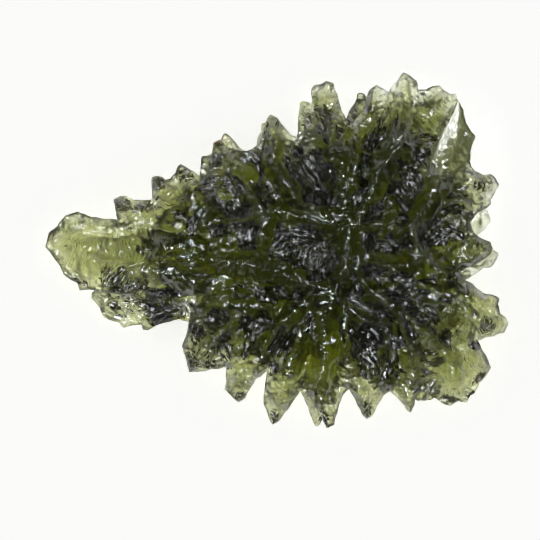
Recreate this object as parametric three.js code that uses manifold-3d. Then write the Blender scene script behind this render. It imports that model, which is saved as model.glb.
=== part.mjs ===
// A hedgehog moldavite: one piece of natural glass, deeply etched into radial ridges that end in teeth at
// its rim. Units are millimetres. X runs along the stone, Y across it and Z up. The origin is under the
// middle of its box, on the surface that it lies on.
//
// The stone is two leaves of glass that are one in the middle and part at the rim: an upper leaf that
// carries the ridges, and a lower leaf whose teeth show between and beyond those of the upper one. A small
// fin stands over the northeast rim. Each of the three has an outline in plan, a middle surface that rises
// and falls, and a thickness that grows inwards from the rim.
import * as THREE from "three";
import { mergeVertices } from "three/addons/utils/BufferGeometryUtils.js";
import Module from "manifold-3d";

const GLASS = { color: 0x4a5518, roughness: 0.12, metalness: 0 };

// How finely the leaves are faceted: points along the rim, along the crests, on a ring just inside the rim
// and on an even grid between them, each at least POINT_GAP from the last.
const RIM_STEP = 0.75;
const CREST_STEP = 0.95;
const CREST_RIM_GAP = 0.3;
const RING_INSET = 0.45;
const GRID_STEP = 1.15;
const GRID_RIM_GAP = 0.8;
const GRID_SHIFT = 0.15;
const GRID_REACH = 25;
const POINT_GAP = 0.5;
const WOBBLE = 0.03;

// Outlines in plan, clockwise from the west. Each line is one tooth or lobe, from notch to notch.
const UPPER_RIM = [
  [[-22.9, 0.4], [-22.5, 1.9], [-21.8, 2.4], [-20.9, 3.5], [-19.6, 3.9], [-18.5, 3.4], [-17.3, 3.2],
    [-15.7, 3.1]],
  [[-15.9, 4.2], [-16.0, 5.1], [-15.4, 5.4], [-14.8, 5.5], [-14.1, 5.1], [-12.9, 5.0], [-12.2, 5.1]],
  [[-12.3, 6.7], [-12.2, 7.3], [-11.9, 7.4], [-11.2, 7.4], [-10.9, 7.1], [-10.5, 7.1]],
  [[-9.9, 7.8], [-9.8, 8.3], [-9.5, 8.7], [-9.0, 8.4], [-8.0, 7.9], [-7.3, 7.4]],
  [[-6.7, 7.8], [-6.3, 9.2], [-6.1, 10.8], [-5.4, 11.1], [-4.9, 10.4], [-4.5, 9.7]],
  [[-4.1, 10.2], [-3.5, 9.9], [-2.8, 10.0], [-2.2, 10.2], [-1.5, 10.7]],
  [[-1.1, 12.0], [-1.0, 12.7], [-0.4, 13.5], [0.2, 13.3], [0.6, 12.8], [1.2, 12.1], [1.7, 11.5],
    [2.3, 11.2]],
  [[3.0, 12.2], [3.4, 13.5], [3.7, 15.2], [3.6, 16.1], [4.1, 16.7], [4.6, 16.6], [5.1, 16.9],
    [5.8, 16.7]],
  [[6.2, 15.9], [6.4, 14.9], [6.8, 13.8], [7.2, 13.2]],
  [[7.8, 12.8], [8.6, 13.8], [9.1, 15.0], [9.5, 16.0], [10.2, 16.7], [10.6, 16.3], [11.4, 15.8]],
  [[12.0, 16.0], [12.3, 17.0], [12.9, 17.8], [13.4, 17.6], [14.2, 16.9], [14.4, 16.1]],
  [[15.1, 16.1], [15.8, 16.4], [16.5, 16.5], [17.1, 16.0], [17.6, 15.7], [18.2, 15.8], [18.4, 14.9]],
  [[18.0, 13.8], [17.4, 12.4], [16.6, 11.0], [15.9, 9.5], [16.1, 8.3], [17.3, 8.0]],
  [[18.3, 8.7], [19.5, 9.1], [19.6, 8.6], [20.0, 7.9], [20.7, 7.6], [21.5, 7.6], [22.1, 7.2],
    [22.4, 6.6]],
  [[21.9, 5.7], [21.5, 5.1], [21.6, 4.7], [21.2, 4.2], [20.3, 3.8], [19.5, 2.8], [19.9, 1.8]],
  [[20.9, 1.1], [21.5, 0.9], [21.7, 0.2], [21.4, -0.5], [20.5, -1.1], [19.3, -1.6], [18.5, -2.2],
    [18.7, -2.8]],
  [[19.5, -3.2], [20.9, -4.2], [21.7, -4.4], [22.5, -4.8], [22.2, -5.3], [22.5, -6.2]],
  [[23.0, -6.7], [23.3, -7.2], [22.9, -8.2], [22.3, -8.4], [21.5, -8.6], [20.3, -9.0]],
  [[20.7, -9.8], [21.4, -11.0], [21.7, -11.7], [21.2, -12.5], [20.5, -13.2], [20.2, -14.1],
    [19.6, -14.5]],
  [[19.2, -15.2], [18.4, -15.1], [17.6, -15.5], [16.9, -15.3], [16.1, -14.8], [15.3, -14.3],
    [14.6, -13.9]],
  [[14.1, -14.4], [13.9, -15.3], [13.6, -16.2], [13.1, -15.8], [12.4, -14.9], [11.5, -14.1]],
  [[10.9, -14.5], [10.4, -15.4], [9.7, -16.6], [9.2, -16.9], [8.8, -16.5], [8.1, -15.1], [7.4, -13.9]],
  [[6.9, -14.4], [6.5, -15.3], [6.1, -16.5], [5.9, -17.4], [5.2, -17.8], [4.9, -17.1], [4.3, -16.0]],
  [[3.6, -14.8], [3.0, -13.8], [2.6, -14.1]],
  [[2.1, -14.7], [1.2, -16.0], [0.3, -17.1], [-0.2, -17.5], [-0.6, -16.7], [-1.1, -15.2], [-1.1, -14.2],
    [-0.8, -12.1]],
  [[-1.7, -12.7], [-2.3, -13.6], [-2.9, -14.7], [-3.5, -15.2], [-4.2, -14.6], [-5.0, -13.8],
    [-4.8, -12.8], [-4.9, -11.7]],
  [[-6.0, -11.8], [-7.5, -12.1], [-8.5, -12.1], [-8.7, -11.4], [-9.1, -10.0], [-9.2, -9.6], [-8.8, -8.2],
    [-8.5, -7.0]],
  [[-7.7, -5.6], [-6.9, -4.3]],
  [[-9.5, -4.7], [-11.5, -4.6], [-13.4, -4.0], [-15.0, -4.4], [-16.7, -4.2], [-18.4, -3.9]],
  [[-19.5, -4.0], [-19.8, -3.3], [-21.1, -2.4], [-21.5, -1.5], [-22.2, -0.6]],
];
const LOWER_RIM = [
  [[-16.7, -3.0], [-15.7, -1.2], [-14.0, 0.5], [-12.3, 2.2], [-10.5, 3.8], [-8.7, 5.4], [-7.7, 6.6]],
  [[-7.4, 8.5], [-7.4, 9.4], [-6.8, 9.5], [-6.2, 9.8], [-5.8, 10.4], [-5.3, 11.2]],
  [[-5.1, 11.8], [-4.5, 11.5], [-4.0, 10.9], [-3.4, 10.2], [-2.5, 9.8], [-1.9, 10.3]],
  [[-1.7, 11.3], [-1.3, 11.9], [-1.4, 12.8], [-0.8, 12.8], [-0.3, 11.5], [0.9, 10.4], [2.1, 10.8]],
  [[2.3, 12.0], [2.4, 13.7], [2.6, 14.9], [3.5, 14.9], [4.1, 13.5], [5.3, 12.2], [6.5, 12.2],
    [7.2, 13.2]],
  [[7.6, 14.2], [8.2, 15.2], [8.3, 15.9], [9.1, 15.7], [9.7, 14.8], [10.7, 14.6]],
  [[11.3, 15.6], [11.9, 16.8], [12.3, 17.1], [12.9, 15.8], [14.1, 14.6], [15.5, 14.2], [17.0, 14.6]],
  [[18.1, 15.0], [18.7, 14.3], [18.9, 13.0], [19.5, 11.8], [20.1, 11.4], [19.7, 10.9], [19.4, 9.8]],
  [[19.4, 8.7], [18.9, 7.2], [19.1, 5.8], [20.1, 4.5]],
  [[21.3, 4.0], [21.5, 3.4], [21.7, 2.9], [20.9, 2.0], [20.1, 1.4], [19.5, 0.8], [20.3, 0.3]],
  [[21.6, 0.4], [22.5, -0.3], [22.4, -0.8], [21.7, -1.6], [21.0, -1.8], [19.5, -2.7], [18.8, -3.1]],
  [[18.9, -4.5], [19.7, -6.0], [19.5, -7.5], [18.5, -9.0], [18.0, -10.8], [16.9, -12.8]],
  [[16.2, -14.2], [15.8, -15.0], [15.2, -15.1], [14.5, -15.1], [14.0, -14.9], [13.3, -13.8],
    [12.3, -13.0]],
  [[11.3, -14.0], [10.1, -13.4], [8.7, -12.6], [7.0, -12.4], [5.7, -14.0]],
  [[4.9, -16.0], [4.6, -17.4], [4.2, -17.7], [3.8, -17.2], [3.3, -15.6], [2.6, -14.1], [1.7, -12.8],
    [0.3, -11.5]],
  [[-1.3, -10.2], [-3.0, -10.2], [-4.7, -10.5], [-6.3, -10.2], [-7.5, -8.8], [-8.4, -7.2]],
  [[-9.5, -6.9], [-10.7, -7.2], [-11.8, -7.5], [-12.8, -8.0], [-13.2, -7.9], [-13.4, -7.4]],
  [[-14.3, -7.5], [-15.1, -7.8], [-15.6, -7.3], [-16.6, -7.0], [-17.1, -6.7], [-17.6, -5.7],
    [-18.4, -4.8], [-18.3, -4.2]],
];

const FIN_RIM = [
  [[17.3, 12.7], [17.8, 13.8], [18.3, 15.0], [18.8, 14.0], [19.0, 12.7], [20.0, 11.4], [19.5, 10.0],
    [19.5, 9.0]],
  [[18.6, 8.0], [17.4, 7.2], [16.2, 6.6], [15.2, 7.4], [15.5, 8.8], [16.0, 9.9], [16.4, 11.0]],
];

// Heights of each leaf's middle surface, as x, y, z.
const UPPER_LEVELS = [
  [7, 2, 5.9], [0, 0, 5.9], [-8, 0, 5.7], [14, -4, 5.9], [12, 8, 5.5],
  [-22, 0.5, 4.9], [-16, 5, 5.6], [-12, 7, 5.0], [-9.5, 8.5, 5.3], [-5.6, 11, 5.0], [-0.4, 13.5, 6.0],
  [5, 16.5, 4.9], [10, 16, 4.4], [13, 17.5, 4.8], [17.5, 15.5, 4.1], [22, 7, 5.2], [21.5, 1, 5.8],
  [22.8, -5, 6.2], [23, -8, 5.5], [21, -12.5, 4.5], [17.6, -15.3, 4.3], [13.6, -16, 5.4],
    [9.2, -16.8, 4.8],
  [5.2, -17.7, 5.7], [-0.2, -17.4, 4.9], [-3.5, -15, 5.7], [-8.5, -12, 6.2], [-7.7, -5.6, 6.0],
    [-15, -4, 5.0],
];
const LOWER_LEVELS = [
  [5, 0, 3.6], [-6, 0, 3.5], [-15, -7, 2.5], [-9.5, -7, 3.2], [-7.4, 9, 4.3], [-5, 11.5, 3.3],
    [-1.4, 12.5, 4.4],
  [2.6, 14.5, 3.0], [8, 15.5, 3.3], [12, 16.5, 2.7], [19, 11, 2.5], [21.5, 3, 3.8], [22, -1, 3.3],
  [19, -7, 4.2], [15, -15, 3.4], [4.2, -17.5, 3.8], [-4, -10, 4.0], [-15, -1, 4.0],
];
const FIN_LEVELS = [[18.3, 15, 7.0], [20, 11.4, 7.1], [17, 11, 7.0], [18.5, 9, 6.5], [16, 7, 6.3]];

// How much each leaf thickens above and below its middle surface, and how far in from the rim it does so.
// LEVEL_BLUR is how far round a stated height the middle surface stays near it.
const LEVEL_BLUR = 2;
const RIM_BEVEL = 0.35;
const RIM_HALF = 0.3;
const UPPER_RISE = 2.3;
const UPPER_DROP = 1.9;
const LOWER_RISE = 1.9;
const LOWER_DROP = 1.9;
const FIN_RISE = 1.1;
const FIN_DROP = 1.1;
const SWELL_LENGTH = 4.6;

// A slow swell up and down the leaves, so that the cleft between them opens and closes along the rim.
const SURGE = 0.35;
const SURGE_TURNS = [0.95, 0.8];

// Ridges on top: a width from crest to foot, then points of x, y and the crest's height over the ground
// beside it. Their flanks are hollow, by the power HOLLOW. Relief fades out over RELIEF_FADE at the rim.
const RIDGES = {
  south: [2.6, [[7.3, 2.4, 2.0], [7.0, -1.2, 2.0], [6.3, -3.5, 1.9], [5.1, -5.2, 1.9], [4.8, -7.0, 1.9],
    [4.9, -9.5, 1.7], [4.6, -12.2, 1.2], [4.3, -15.0, 0.7], [5.1, -17.4, 0.2]]],
  westOuter: [2.2, [[-20.5, 0.7, 0.2], [-17.5, 0.0, 0.6], [-14.5, 0.2, 1.0], [-11.0, 0.4, 1.2],
    [-7.5, 0.1, 1.0]]],
  westInner: [2.4, [[-8.5, -0.6, 0.9], [-5.0, -1.2, 1.8], [-2.5, -1.5, 2.2], [-0.3, -1.8, 2.2],
    [1.5, -2.7, 1.9],
    [3.5, -3.4, 1.7], [6.0, -3.7, 1.6]]],
  westLower: [1.8, [[-15.0, -1.2, 0.4], [-12.8, -2.0, 1.0], [-10.0, -2.5, 1.3], [-7.5, -3.2, 1.4],
    [-5.3, -3.3, 1.0]]],
  plateEdge: [1.6, [[-3.5, -4.2, 1.3], [-5.3, -3.9, 1.5], [-6.8, -4.6, 1.6], [-7.5, -5.7, 1.3],
    [-8.2, -7.1, 0.9],
    [-8.8, -9.5, 0.3]]],
  plate: [1.8, [[-5.0, -5.2, 1.1], [-1.3, -5.5, 1.1], [1.0, -6.2, 0.9]]],
  southwestBlade: [1.7, [[2.5, -5.6, 1.4], [0.5, -7.0, 1.8], [-0.9, -8.8, 1.8], [-1.5, -10.8, 1.3],
    [-1.9, -12.2, 0.7],
    [-3.2, -14.8, 0.2]]],
  southTooth: [2.0, [[2.8, -7.5, 1.0], [2.1, -10.0, 1.3], [1.1, -12.2, 1.2], [0.4, -14.5, 0.8],
    [-0.2, -17.3, 0.2]]],
  southwestLobe: [1.6, [[-3.5, -8.0, 0.8], [-3.9, -10.5, 0.8], [-3.7, -13.0, 0.7], [-3.5, -14.9, 0.2]]],
  cornerLobe: [1.8, [[-4.0, -6.8, 1.0], [-6.0, -8.5, 1.0], [-7.5, -10.5, 0.7], [-8.4, -11.9, 0.2]]],
  northPlate: [2.2, [[7.1, 3.5, 2.0], [6.7, 6.0, 2.0], [6.3, 9.0, 1.9], [5.5, 12.5, 1.2],
    [5.0, 16.5, 0.2]]],
  northPlateEast: [1.8, [[7.0, 5.0, 1.6], [7.7, 8.5, 1.8], [8.1, 11.0, 1.5], [9.0, 13.8, 0.9],
    [10.2, 16.5, 0.2]]],
  northeast: [2.2, [[7.7, 2.8, 1.8], [9.7, 5.2, 2.0], [10.7, 8.2, 2.1], [12.0, 9.8, 1.9],
    [12.9, 11.2, 1.5],
    [12.8, 14.2, 0.9], [12.9, 17.5, 0.2]]],
  northeastBranch: [1.3, [[12.9, 11.0, 1.3], [11.0, 10.2, 1.2], [9.7, 8.5, 1.0]]],
  northeastLobe: [2.4, [[13.0, 10.0, 1.1], [14.5, 12.5, 0.8], [16.5, 14.5, 0.6], [18.0, 15.4, 0.2]]],
  eastDiagonal: [2.0, [[12.0, 1.5, 1.5], [13.7, 2.6, 2.2], [15.1, 4.4, 2.4], [16.3, 6.0, 2.2],
    [17.3, 7.4, 1.2]]],
  eastTail: [1.4, [[13.7, 2.6, 1.9], [13.9, 1.2, 1.6], [14.4, 0.0, 1.4], [15.5, -1.2, 1.0]]],
  eastLobe: [1.8, [[17.3, 7.2, 1.0], [20.0, 6.9, 0.8], [22.1, 6.8, 0.2]]],
  eastLobeLow: [1.6, [[16.5, 4.5, 0.9], [19.0, 4.7, 0.8], [21.3, 4.7, 0.2]]],
  eastTongue: [2.0, [[15.5, -1.2, 0.9], [17.7, -0.8, 1.0], [20.0, 0.2, 0.8], [21.5, 0.5, 0.2]]],
  eastArc: [1.6, [[9.3, -0.7, 1.2], [11.0, -1.4, 1.5], [12.7, -1.5, 1.5], [13.9, -0.8, 1.4],
    [14.7, -0.6, 1.2],
    [16.5, -2.2, 1.2], [18.0, -2.5, 0.6]]],
  hubEast: [1.3, [[7.7, 2.4, 1.6], [9.0, 2.4, 1.4], [10.3, 2.8, 1.2], [12.0, 2.8, 1.2],
    [13.3, 2.4, 1.5]]],
  southeastTop: [1.7, [[14.5, -3.5, 1.2], [16.5, -4.0, 1.3], [18.5, -4.0, 1.3], [20.3, -4.5, 1.0],
    [22.3, -4.9, 0.2]]],
  southeastMiddle: [1.8, [[15.5, -5.0, 0.9], [18.0, -6.0, 1.0], [20.5, -6.8, 0.8], [23.0, -7.3, 0.2]]],
  southeastLow: [1.0, [[18.0, -6.0, 0.9], [19.5, -7.2, 0.8], [20.7, -8.5, 0.2]]],
  southeast: [1.9, [[8.0, -2.0, 1.5], [9.7, -4.3, 1.6], [11.7, -5.5, 1.6], [12.9, -7.0, 1.6],
    [13.5, -9.5, 1.4],
    [13.7, -13.0, 0.8], [13.6, -15.9, 0.2]]],
  fan: [2.0, [[12.9, -6.2, 1.0], [15.0, -8.0, 1.1], [17.0, -10.5, 0.9], [17.8, -12.5, 0.6],
    [17.7, -15.2, 0.2]]],
  fanEdge: [1.4, [[16.5, -7.5, 1.0], [18.7, -9.0, 1.1], [20.3, -10.5, 0.8], [21.4, -11.7, 0.2]]],
  southeastTooth: [1.5, [[6.8, -5.0, 0.8], [7.0, -8.5, 1.0], [7.5, -11.5, 1.0], [8.4, -13.7, 0.8],
    [9.2, -16.6, 0.2]]],
  southeastToothEast: [1.4, [[11.0, -7.5, 1.0], [11.3, -10.0, 1.0], [11.1, -12.5, 0.7],
    [9.7, -15.8, 0.2]]],
  arc: [1.2, [[7.3, -5.5, 1.2], [8.5, -6.8, 1.2], [10.3, -7.2, 1.2], [11.7, -6.4, 1.1]]],
  northwest: [2.0, [[6.0, 2.8, 1.6], [4.3, 3.8, 1.6], [2.3, 5.1, 1.8], [1.0, 6.8, 1.8], [-0.3, 8.7, 1.5],
    [-0.3, 11.0, 0.9], [-0.4, 13.2, 0.2]]],
  northwestOuter: [1.8, [[-0.7, 2.8, 1.3], [-2.0, 5.0, 1.4], [-3.2, 7.5, 1.2], [-4.7, 9.5, 0.7],
    [-5.6, 10.8, 0.2]]],
  spur: [1.2, [[-0.7, 2.9, 1.3], [-1.4, 1.6, 1.2], [-1.6, -0.2, 0.8]]],
  west: [1.6, [[7.0, 2.8, 1.7], [4.5, 2.8, 1.6], [1.5, 3.7, 1.4], [-1.3, 3.6, 1.2], [-4.0, 2.8, 0.9],
    [-7.0, 2.5, 0.5]]],
  cupTooth: [1.6, [[-6.5, 3.8, 1.0], [-8.0, 5.5, 1.0], [-8.8, 7.2, 0.7], [-9.4, 8.4, 0.2]]],
  westTooth: [1.5, [[-8.5, 4.5, 0.8], [-10.7, 5.3, 0.9], [-11.7, 6.2, 0.7], [-12.1, 7.1, 0.3]]],
  westSpur: [1.6, [[-10.0, 2.8, 0.7], [-12.5, 3.6, 0.7], [-14.5, 4.2, 0.6], [-15.6, 5.1, 0.3]]],
  westRim: [1.2, [[-14.5, 2.2, 0.5], [-17.5, 2.4, 0.5], [-20.0, 2.6, 0.4], [-21.6, 1.7, 0.2]]],
};

// Ridges underneath fan out from a second hub, one for each tooth below.
const UNDER_HUB = [1.5, 0.5];
const UNDER_RIDGE = { count: 15, width: 2.1, height: 1.5, waver: 0.25, bend: 0.025, start: 2.0, step: 1.6 };
const HOLLOW = 1.5;
const RELIEF_FADE = 0.6;
const SCOOP_FADE = 1.5;

// Scoops that etching has left on top: centre, half-sizes, turn in degrees and depth.
const SCOOPS = [
  [-3.5, -0.2, 2.4, 1.0, 4, 0.8], [1.1, -0.1, 2.6, 1.3, -6, 0.9], [-5.9, 5.1, 1.9, 1.3, 8, 0.7],
  [11.5, -0.5, 2.4, 0.8, -4, 0.6], [12.7, 2.8, 0.9, 0.6, -20, 0.7], [17.2, -8.6, 0.6, 1.1, 0, 0.9],
  [4.3, 7.6, 1.6, 2.9, 24, 0.8], [13.6, 6.6, 1.7, 2.3, -30, 0.8], [11.0, 0.9, 1.6, 0.9, 10, 0.6],
  [4.6, -0.5, 1.5, 2.1, -14, 0.7], [9.2, -2.8, 1.2, 1.2, 0, 0.6], [9.5, -9.0, 1.3, 1.9, 10, 0.6],
  [0.6, -4.4, 2.0, 0.9, -18, 0.6], [-3.9, -8.6, 1.7, 1.2, 20, 0.5], [14.9, 9.6, 1.2, 1.9, -14, 0.6],
  [-6.0, 1.7, 2.2, 0.9, 8, 0.6], [18.3, -0.4, 1.6, 0.8, 22, 0.5], [15.4, 0.6, 1.1, 1.4, 0, 0.5],
];
const UNDER_SCOOPS = [
  [-8.0, -3.0, 2.6, 1.6, 10, 0.7], [-3.0, 4.5, 2.2, 1.7, 40, 0.7], [9.0, 6.5, 2.4, 1.8, 60, 0.7],
  [15.0, 1.0, 2.4, 1.6, 0, 0.7], [10.0, -7.0, 2.4, 1.6, -50, 0.7], [1.0, -6.5, 1.8, 2.4, -10, 0.7],
];

// Three worn feet carry the stone. Each is a blunt knob that the ground plane cuts, and nothing else comes
// as low.
const FEET = [[-8.5, -1.5], [12.0, 8.5], [10.5, -8.5]];
const FOOT_FLAT_RADIUS = 0.9;
const FOOT_ROOT_RADIUS = 2.7;
const FOOT_REACH = 0.3;
const UNDER_CLEARANCE = 0.35;
const GROUND_BLOCK = 60;

const wasm = await Module();
wasm.setup();

const clamp = (value) => Math.min(1, Math.max(0, value));
const between = (a, b, share) => [a[0] + share * (b[0] - a[0]), a[1] + share * (b[1] - a[1])];
const gap = (a, b) => Math.hypot(b[0] - a[0], b[1] - a[1]);

// No natural rim or crest runs dead straight, and no three of these points share a line.
const wobbled = ([x, y]) => [
  x + WOBBLE * Math.sin(91.7 * x + 47.3 * y),
  y + WOBBLE * Math.sin(63.1 * x - 85.9 * y),
];

// The nearest point of a stretch a-b: how far along the stretch it lies, and how far away it is.
function nearest(x, y, a, b) {
  const dx = b[0] - a[0];
  const dy = b[1] - a[1];
  const share = clamp(((x - a[0]) * dx + (y - a[1]) * dy) / (dx * dx + dy * dy));
  return { share, distance: Math.hypot(x - a[0] - share * dx, y - a[1] - share * dy) };
}

function rimDistance(x, y, rim) {
  return Math.min(...rim.map((a, i) => nearest(x, y, a, rim[(i + 1) % rim.length]).distance));
}

function isInside(x, y, rim) {
  let inside = false;
  rim.forEach((a, i) => {
    const b = rim[(i + 1) % rim.length];
    const isLevel = a[1] > y !== b[1] > y;
    if (isLevel && x < between(a, b, (y - a[1]) / (b[1] - a[1]))[0]) inside = !inside;
  });
  return inside;
}

// A smooth surface through scattered heights.
function levelAt(x, y, levels) {
  let sum = 0;
  let total = 0;
  for (const [px, py, z] of levels) {
    const weight = 1 / ((x - px) ** 2 + (y - py) ** 2 + LEVEL_BLUR ** 2) ** 2;
    sum += weight * z;
    total += weight;
  }
  return sum / total;
}

// The tallest ridge at a point.
function ridgeHeight(x, y, ridges) {
  let tallest = 0;
  for (const [width, path] of ridges) {
    for (let i = 0; i + 1 < path.length; i++) {
      const { share, distance } = nearest(x, y, path[i], path[i + 1]);
      const crest = path[i][2] + share * (path[i + 1][2] - path[i][2]);
      tallest = Math.max(tallest, crest * clamp(1 - distance / width) ** HOLLOW);
    }
  }
  return tallest;
}

function scoopDepth(x, y, scoops) {
  let deepest = 0;
  for (const [cx, cy, rx, ry, turn, depth] of scoops) {
    const angle = THREE.MathUtils.degToRad(turn);
    const u = (x - cx) * Math.cos(angle) + (y - cy) * Math.sin(angle);
    const v = (y - cy) * Math.cos(angle) - (x - cx) * Math.sin(angle);
    deepest = Math.max(deepest, depth * (1 - (u / rx) ** 2 - (v / ry) ** 2));
  }
  return deepest;
}

// Ridges and scoops together, at a distance from the rim.
function relief(x, y, distance, ridges, scoops) {
  const scooped = clamp(distance / SCOOP_FADE) * scoopDepth(x, y, scoops);
  return clamp(distance / RELIEF_FADE) * (ridgeHeight(x, y, ridges) - scooped);
}

// The ridges underneath, from the second hub out to the rim of the lower leaf.
function underRidges(rim) {
  const { count, width, height, waver, bend, start, step } = UNDER_RIDGE;
  return Array.from({ length: count }, (_, i) => {
    const heading = (2 * Math.PI * i) / count + waver * Math.sin(5 * i);
    const path = [];
    for (let r = start; ; r += step) {
      const x = UNDER_HUB[0] + r * Math.cos(heading + bend * r);
      const y = UNDER_HUB[1] + r * Math.sin(heading + bend * r);
      if (!isInside(x, y, rim)) return [width, path];
      const unevenness = 0.75 + 0.25 * Math.sin(3 * i + r);
      path.push([x, y, height * unevenness * clamp(rimDistance(x, y, rim) / width)]);
    }
  });
}

// Bowyer and Watson's Delaunay triangulation of points in plan.
function delaunay(points) {
  const n = points.length;
  const far = 40 * GRID_REACH;
  const all = [...points, [-far, -far], [far, -far], [0, far]];
  const circled = (a, b, c) => {
    const [ax, ay] = all[a];
    const [bx, by] = [all[b][0] - ax, all[b][1] - ay];
    const [cx, cy] = [all[c][0] - ax, all[c][1] - ay];
    const d = 2 * (bx * cy - by * cx);
    const ux = (cy * (bx * bx + by * by) - by * (cx * cx + cy * cy)) / d;
    const uy = (bx * (cx * cx + cy * cy) - cx * (bx * bx + by * by)) / d;
    return { corners: [a, b, c], x: ax + ux, y: ay + uy, r2: ux * ux + uy * uy };
  };
  let triangles = [circled(n, n + 1, n + 2)];
  points.forEach(([x, y], p) => {
    const edges = new Map();
    const kept = [];
    for (const t of triangles) {
      if ((x - t.x) ** 2 + (y - t.y) ** 2 >= t.r2) {
        kept.push(t);
        continue;
      }
      t.corners.forEach((a, i) => {
        const b = t.corners[(i + 1) % 3];
        if (!edges.delete(`${b},${a}`)) edges.set(`${a},${b}`, [a, b]);
      });
    }
    for (const [a, b] of edges.values()) kept.push(circled(a, b, p));
    triangles = kept;
  });
  return triangles.map((t) => t.corners).filter((t) => t.every((corner) => corner < n));
}

// Points along a line from a to b, at most a step apart, without b itself.
function along(a, b, step) {
  const parts = Math.ceil(gap(a, b) / step);
  return Array.from({ length: parts }, (_, k) => between(a, b, k / parts));
}

function insidePoints(rim, ridges, extra) {
  const points = extra.map(wobbled);
  const add = ([x, y], rimGap) => {
    const isFree = points.every((point) => gap(point, [x, y]) > POINT_GAP);
    if (isFree && isInside(x, y, rim) && rimDistance(x, y, rim) > rimGap) points.push(wobbled([x, y]));
  };
  for (const [, path] of ridges)
    for (let i = 0; i + 1 < path.length; i++)
      for (const point of along(path[i], path[i + 1], CREST_STEP)) add(point, CREST_RIM_GAP);
  rim.forEach((a, i) => {
    const b = rim[(i + 1) % rim.length];
    const [x, y] = between(a, b, 0.5);
    const inset = RING_INSET / gap(a, b);
    add([x + inset * (b[1] - a[1]), y - inset * (b[0] - a[0])], 0.9 * RING_INSET);
  });
  const rowStep = GRID_STEP * Math.sqrt(0.75);
  const rows = Math.floor(GRID_REACH / rowStep);
  const columns = Math.floor(GRID_REACH / GRID_STEP);
  for (let j = -rows; j <= rows; j++)
    for (let i = -columns; i <= columns; i++) {
      const x = GRID_STEP * (i + 0.5 * Math.abs(j % 2)) + GRID_SHIFT * Math.sin(12.9 * i + 78.2 * j);
      const y = rowStep * j + GRID_SHIFT * Math.sin(39.3 * i + 11.1 * j);
      add([x, y], GRID_RIM_GAP);
    }
  return points;
}

const edgeKey = (a, b) => (a < b ? `${a},${b}` : `${b},${a}`);

// Triangles that fill a rim. A stretch of rim that they cross is halved, and so is an inner edge that runs
// from rim to rim.
function filled(rim, inner) {
  for (;;) {
    const points = [...rim, ...inner];
    const triangles = delaunay(points).filter((t) => {
      const x = t.reduce((sum, p) => sum + points[p][0], 0) / 3;
      const y = t.reduce((sum, p) => sum + points[p][1], 0) / 3;
      return isInside(x, y, rim);
    });
    const edges = new Map();
    for (const [a, b, c] of triangles)
      for (const [p, q] of [[a, b], [b, c], [c, a]]) edges.set(edgeKey(p, q), [p, q]);
    const halved = rim.flatMap((a, i) => {
      const next = (i + 1) % rim.length;
      return edges.delete(edgeKey(i, next)) ? [a] : [a, wobbled(between(a, rim[next], 0.5))];
    });
    const chords = [...edges.values()].filter(([a, b]) => a < rim.length && b < rim.length);
    if (halved.length === rim.length && !chords.length) return { rim, inner, triangles };
    inner = [...inner, ...chords.map(([a, b]) => wobbled(between(rim[a], rim[b], 0.5)))];
    rim = halved;
  }
}

function solid(vertProperties, triVerts) {
  return new wasm.Manifold(new wasm.Mesh({ numProp: 3, vertProperties, triVerts }));
}

// One leaf as a solid: the same triangles above and below, which share the points of the rim.
function leaf(outline, ridges, top, bottom, extra = []) {
  const start = outline
    .flatMap((a, i) => along(a, outline[(i + 1) % outline.length], RIM_STEP))
    .map(wobbled);
  const { rim, inner, triangles } = filled(start, insidePoints(start, ridges, extra));
  const flat = [...rim, ...inner];
  const distances = flat.map(([x, y], i) => (i < rim.length ? 0 : rimDistance(x, y, rim)));
  const upper = flat.map(([x, y], i) => [x, y, top(x, y, distances[i])]);
  const lower = inner.map(([x, y], i) => [x, y, bottom(x, y, distances[i + rim.length])]);
  const below = (p) => (p < rim.length ? p : p + inner.length);
  const faces = triangles.flatMap(([p, q, r]) => {
    const [a, b, c] = [flat[p], flat[q], flat[r]];
    const isUp = (b[0] - a[0]) * (c[1] - a[1]) > (b[1] - a[1]) * (c[0] - a[0]);
    const [second, third] = isUp ? [q, r] : [r, q];
    return [p, second, third, below(p), below(third), below(second)];
  });
  return solid(new Float32Array([...upper, ...lower].flat()), new Uint32Array(faces));
}

const surge = (x, y) => SURGE * Math.sin(SURGE_TURNS[0] * x) * Math.cos(SURGE_TURNS[1] * y);
const swell = (distance) => 1 - Math.exp(-distance / SWELL_LENGTH);
const rounded = (distance) => RIM_HALF * Math.sqrt(clamp(distance / RIM_BEVEL));

function upperLeaf() {
  const ridges = Object.values(RIDGES);
  const middleAt = (x, y) => levelAt(x, y, UPPER_LEVELS) + surge(x, y);
  const top = (x, y, distance) =>
    middleAt(x, y) + rounded(distance) + UPPER_RISE * swell(distance) +
    relief(x, y, distance, ridges, SCOOPS);
  const bottom = (x, y, distance) => middleAt(x, y) - rounded(distance) - UPPER_DROP * swell(distance);
  return leaf(UPPER_RIM.flat(), ridges, top, bottom);
}

// One on a foot's flat, and nothing beyond its root.
function footShare(x, y) {
  const distance = Math.min(...FEET.map(([fx, fy]) => Math.hypot(x - fx, y - fy)));
  return clamp((FOOT_ROOT_RADIUS - distance) / (FOOT_ROOT_RADIUS - FOOT_FLAT_RADIUS));
}

function footPoints() {
  const ring = [0, 1, 2, 3, 4, 5].map((i) => (i * Math.PI) / 3);
  return FEET.flatMap(([fx, fy]) => [
    [fx, fy],
    ...ring.map((turn) => [fx + FOOT_FLAT_RADIUS * Math.cos(turn), fy + FOOT_FLAT_RADIUS * Math.sin(turn)]),
  ]);
}

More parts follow.
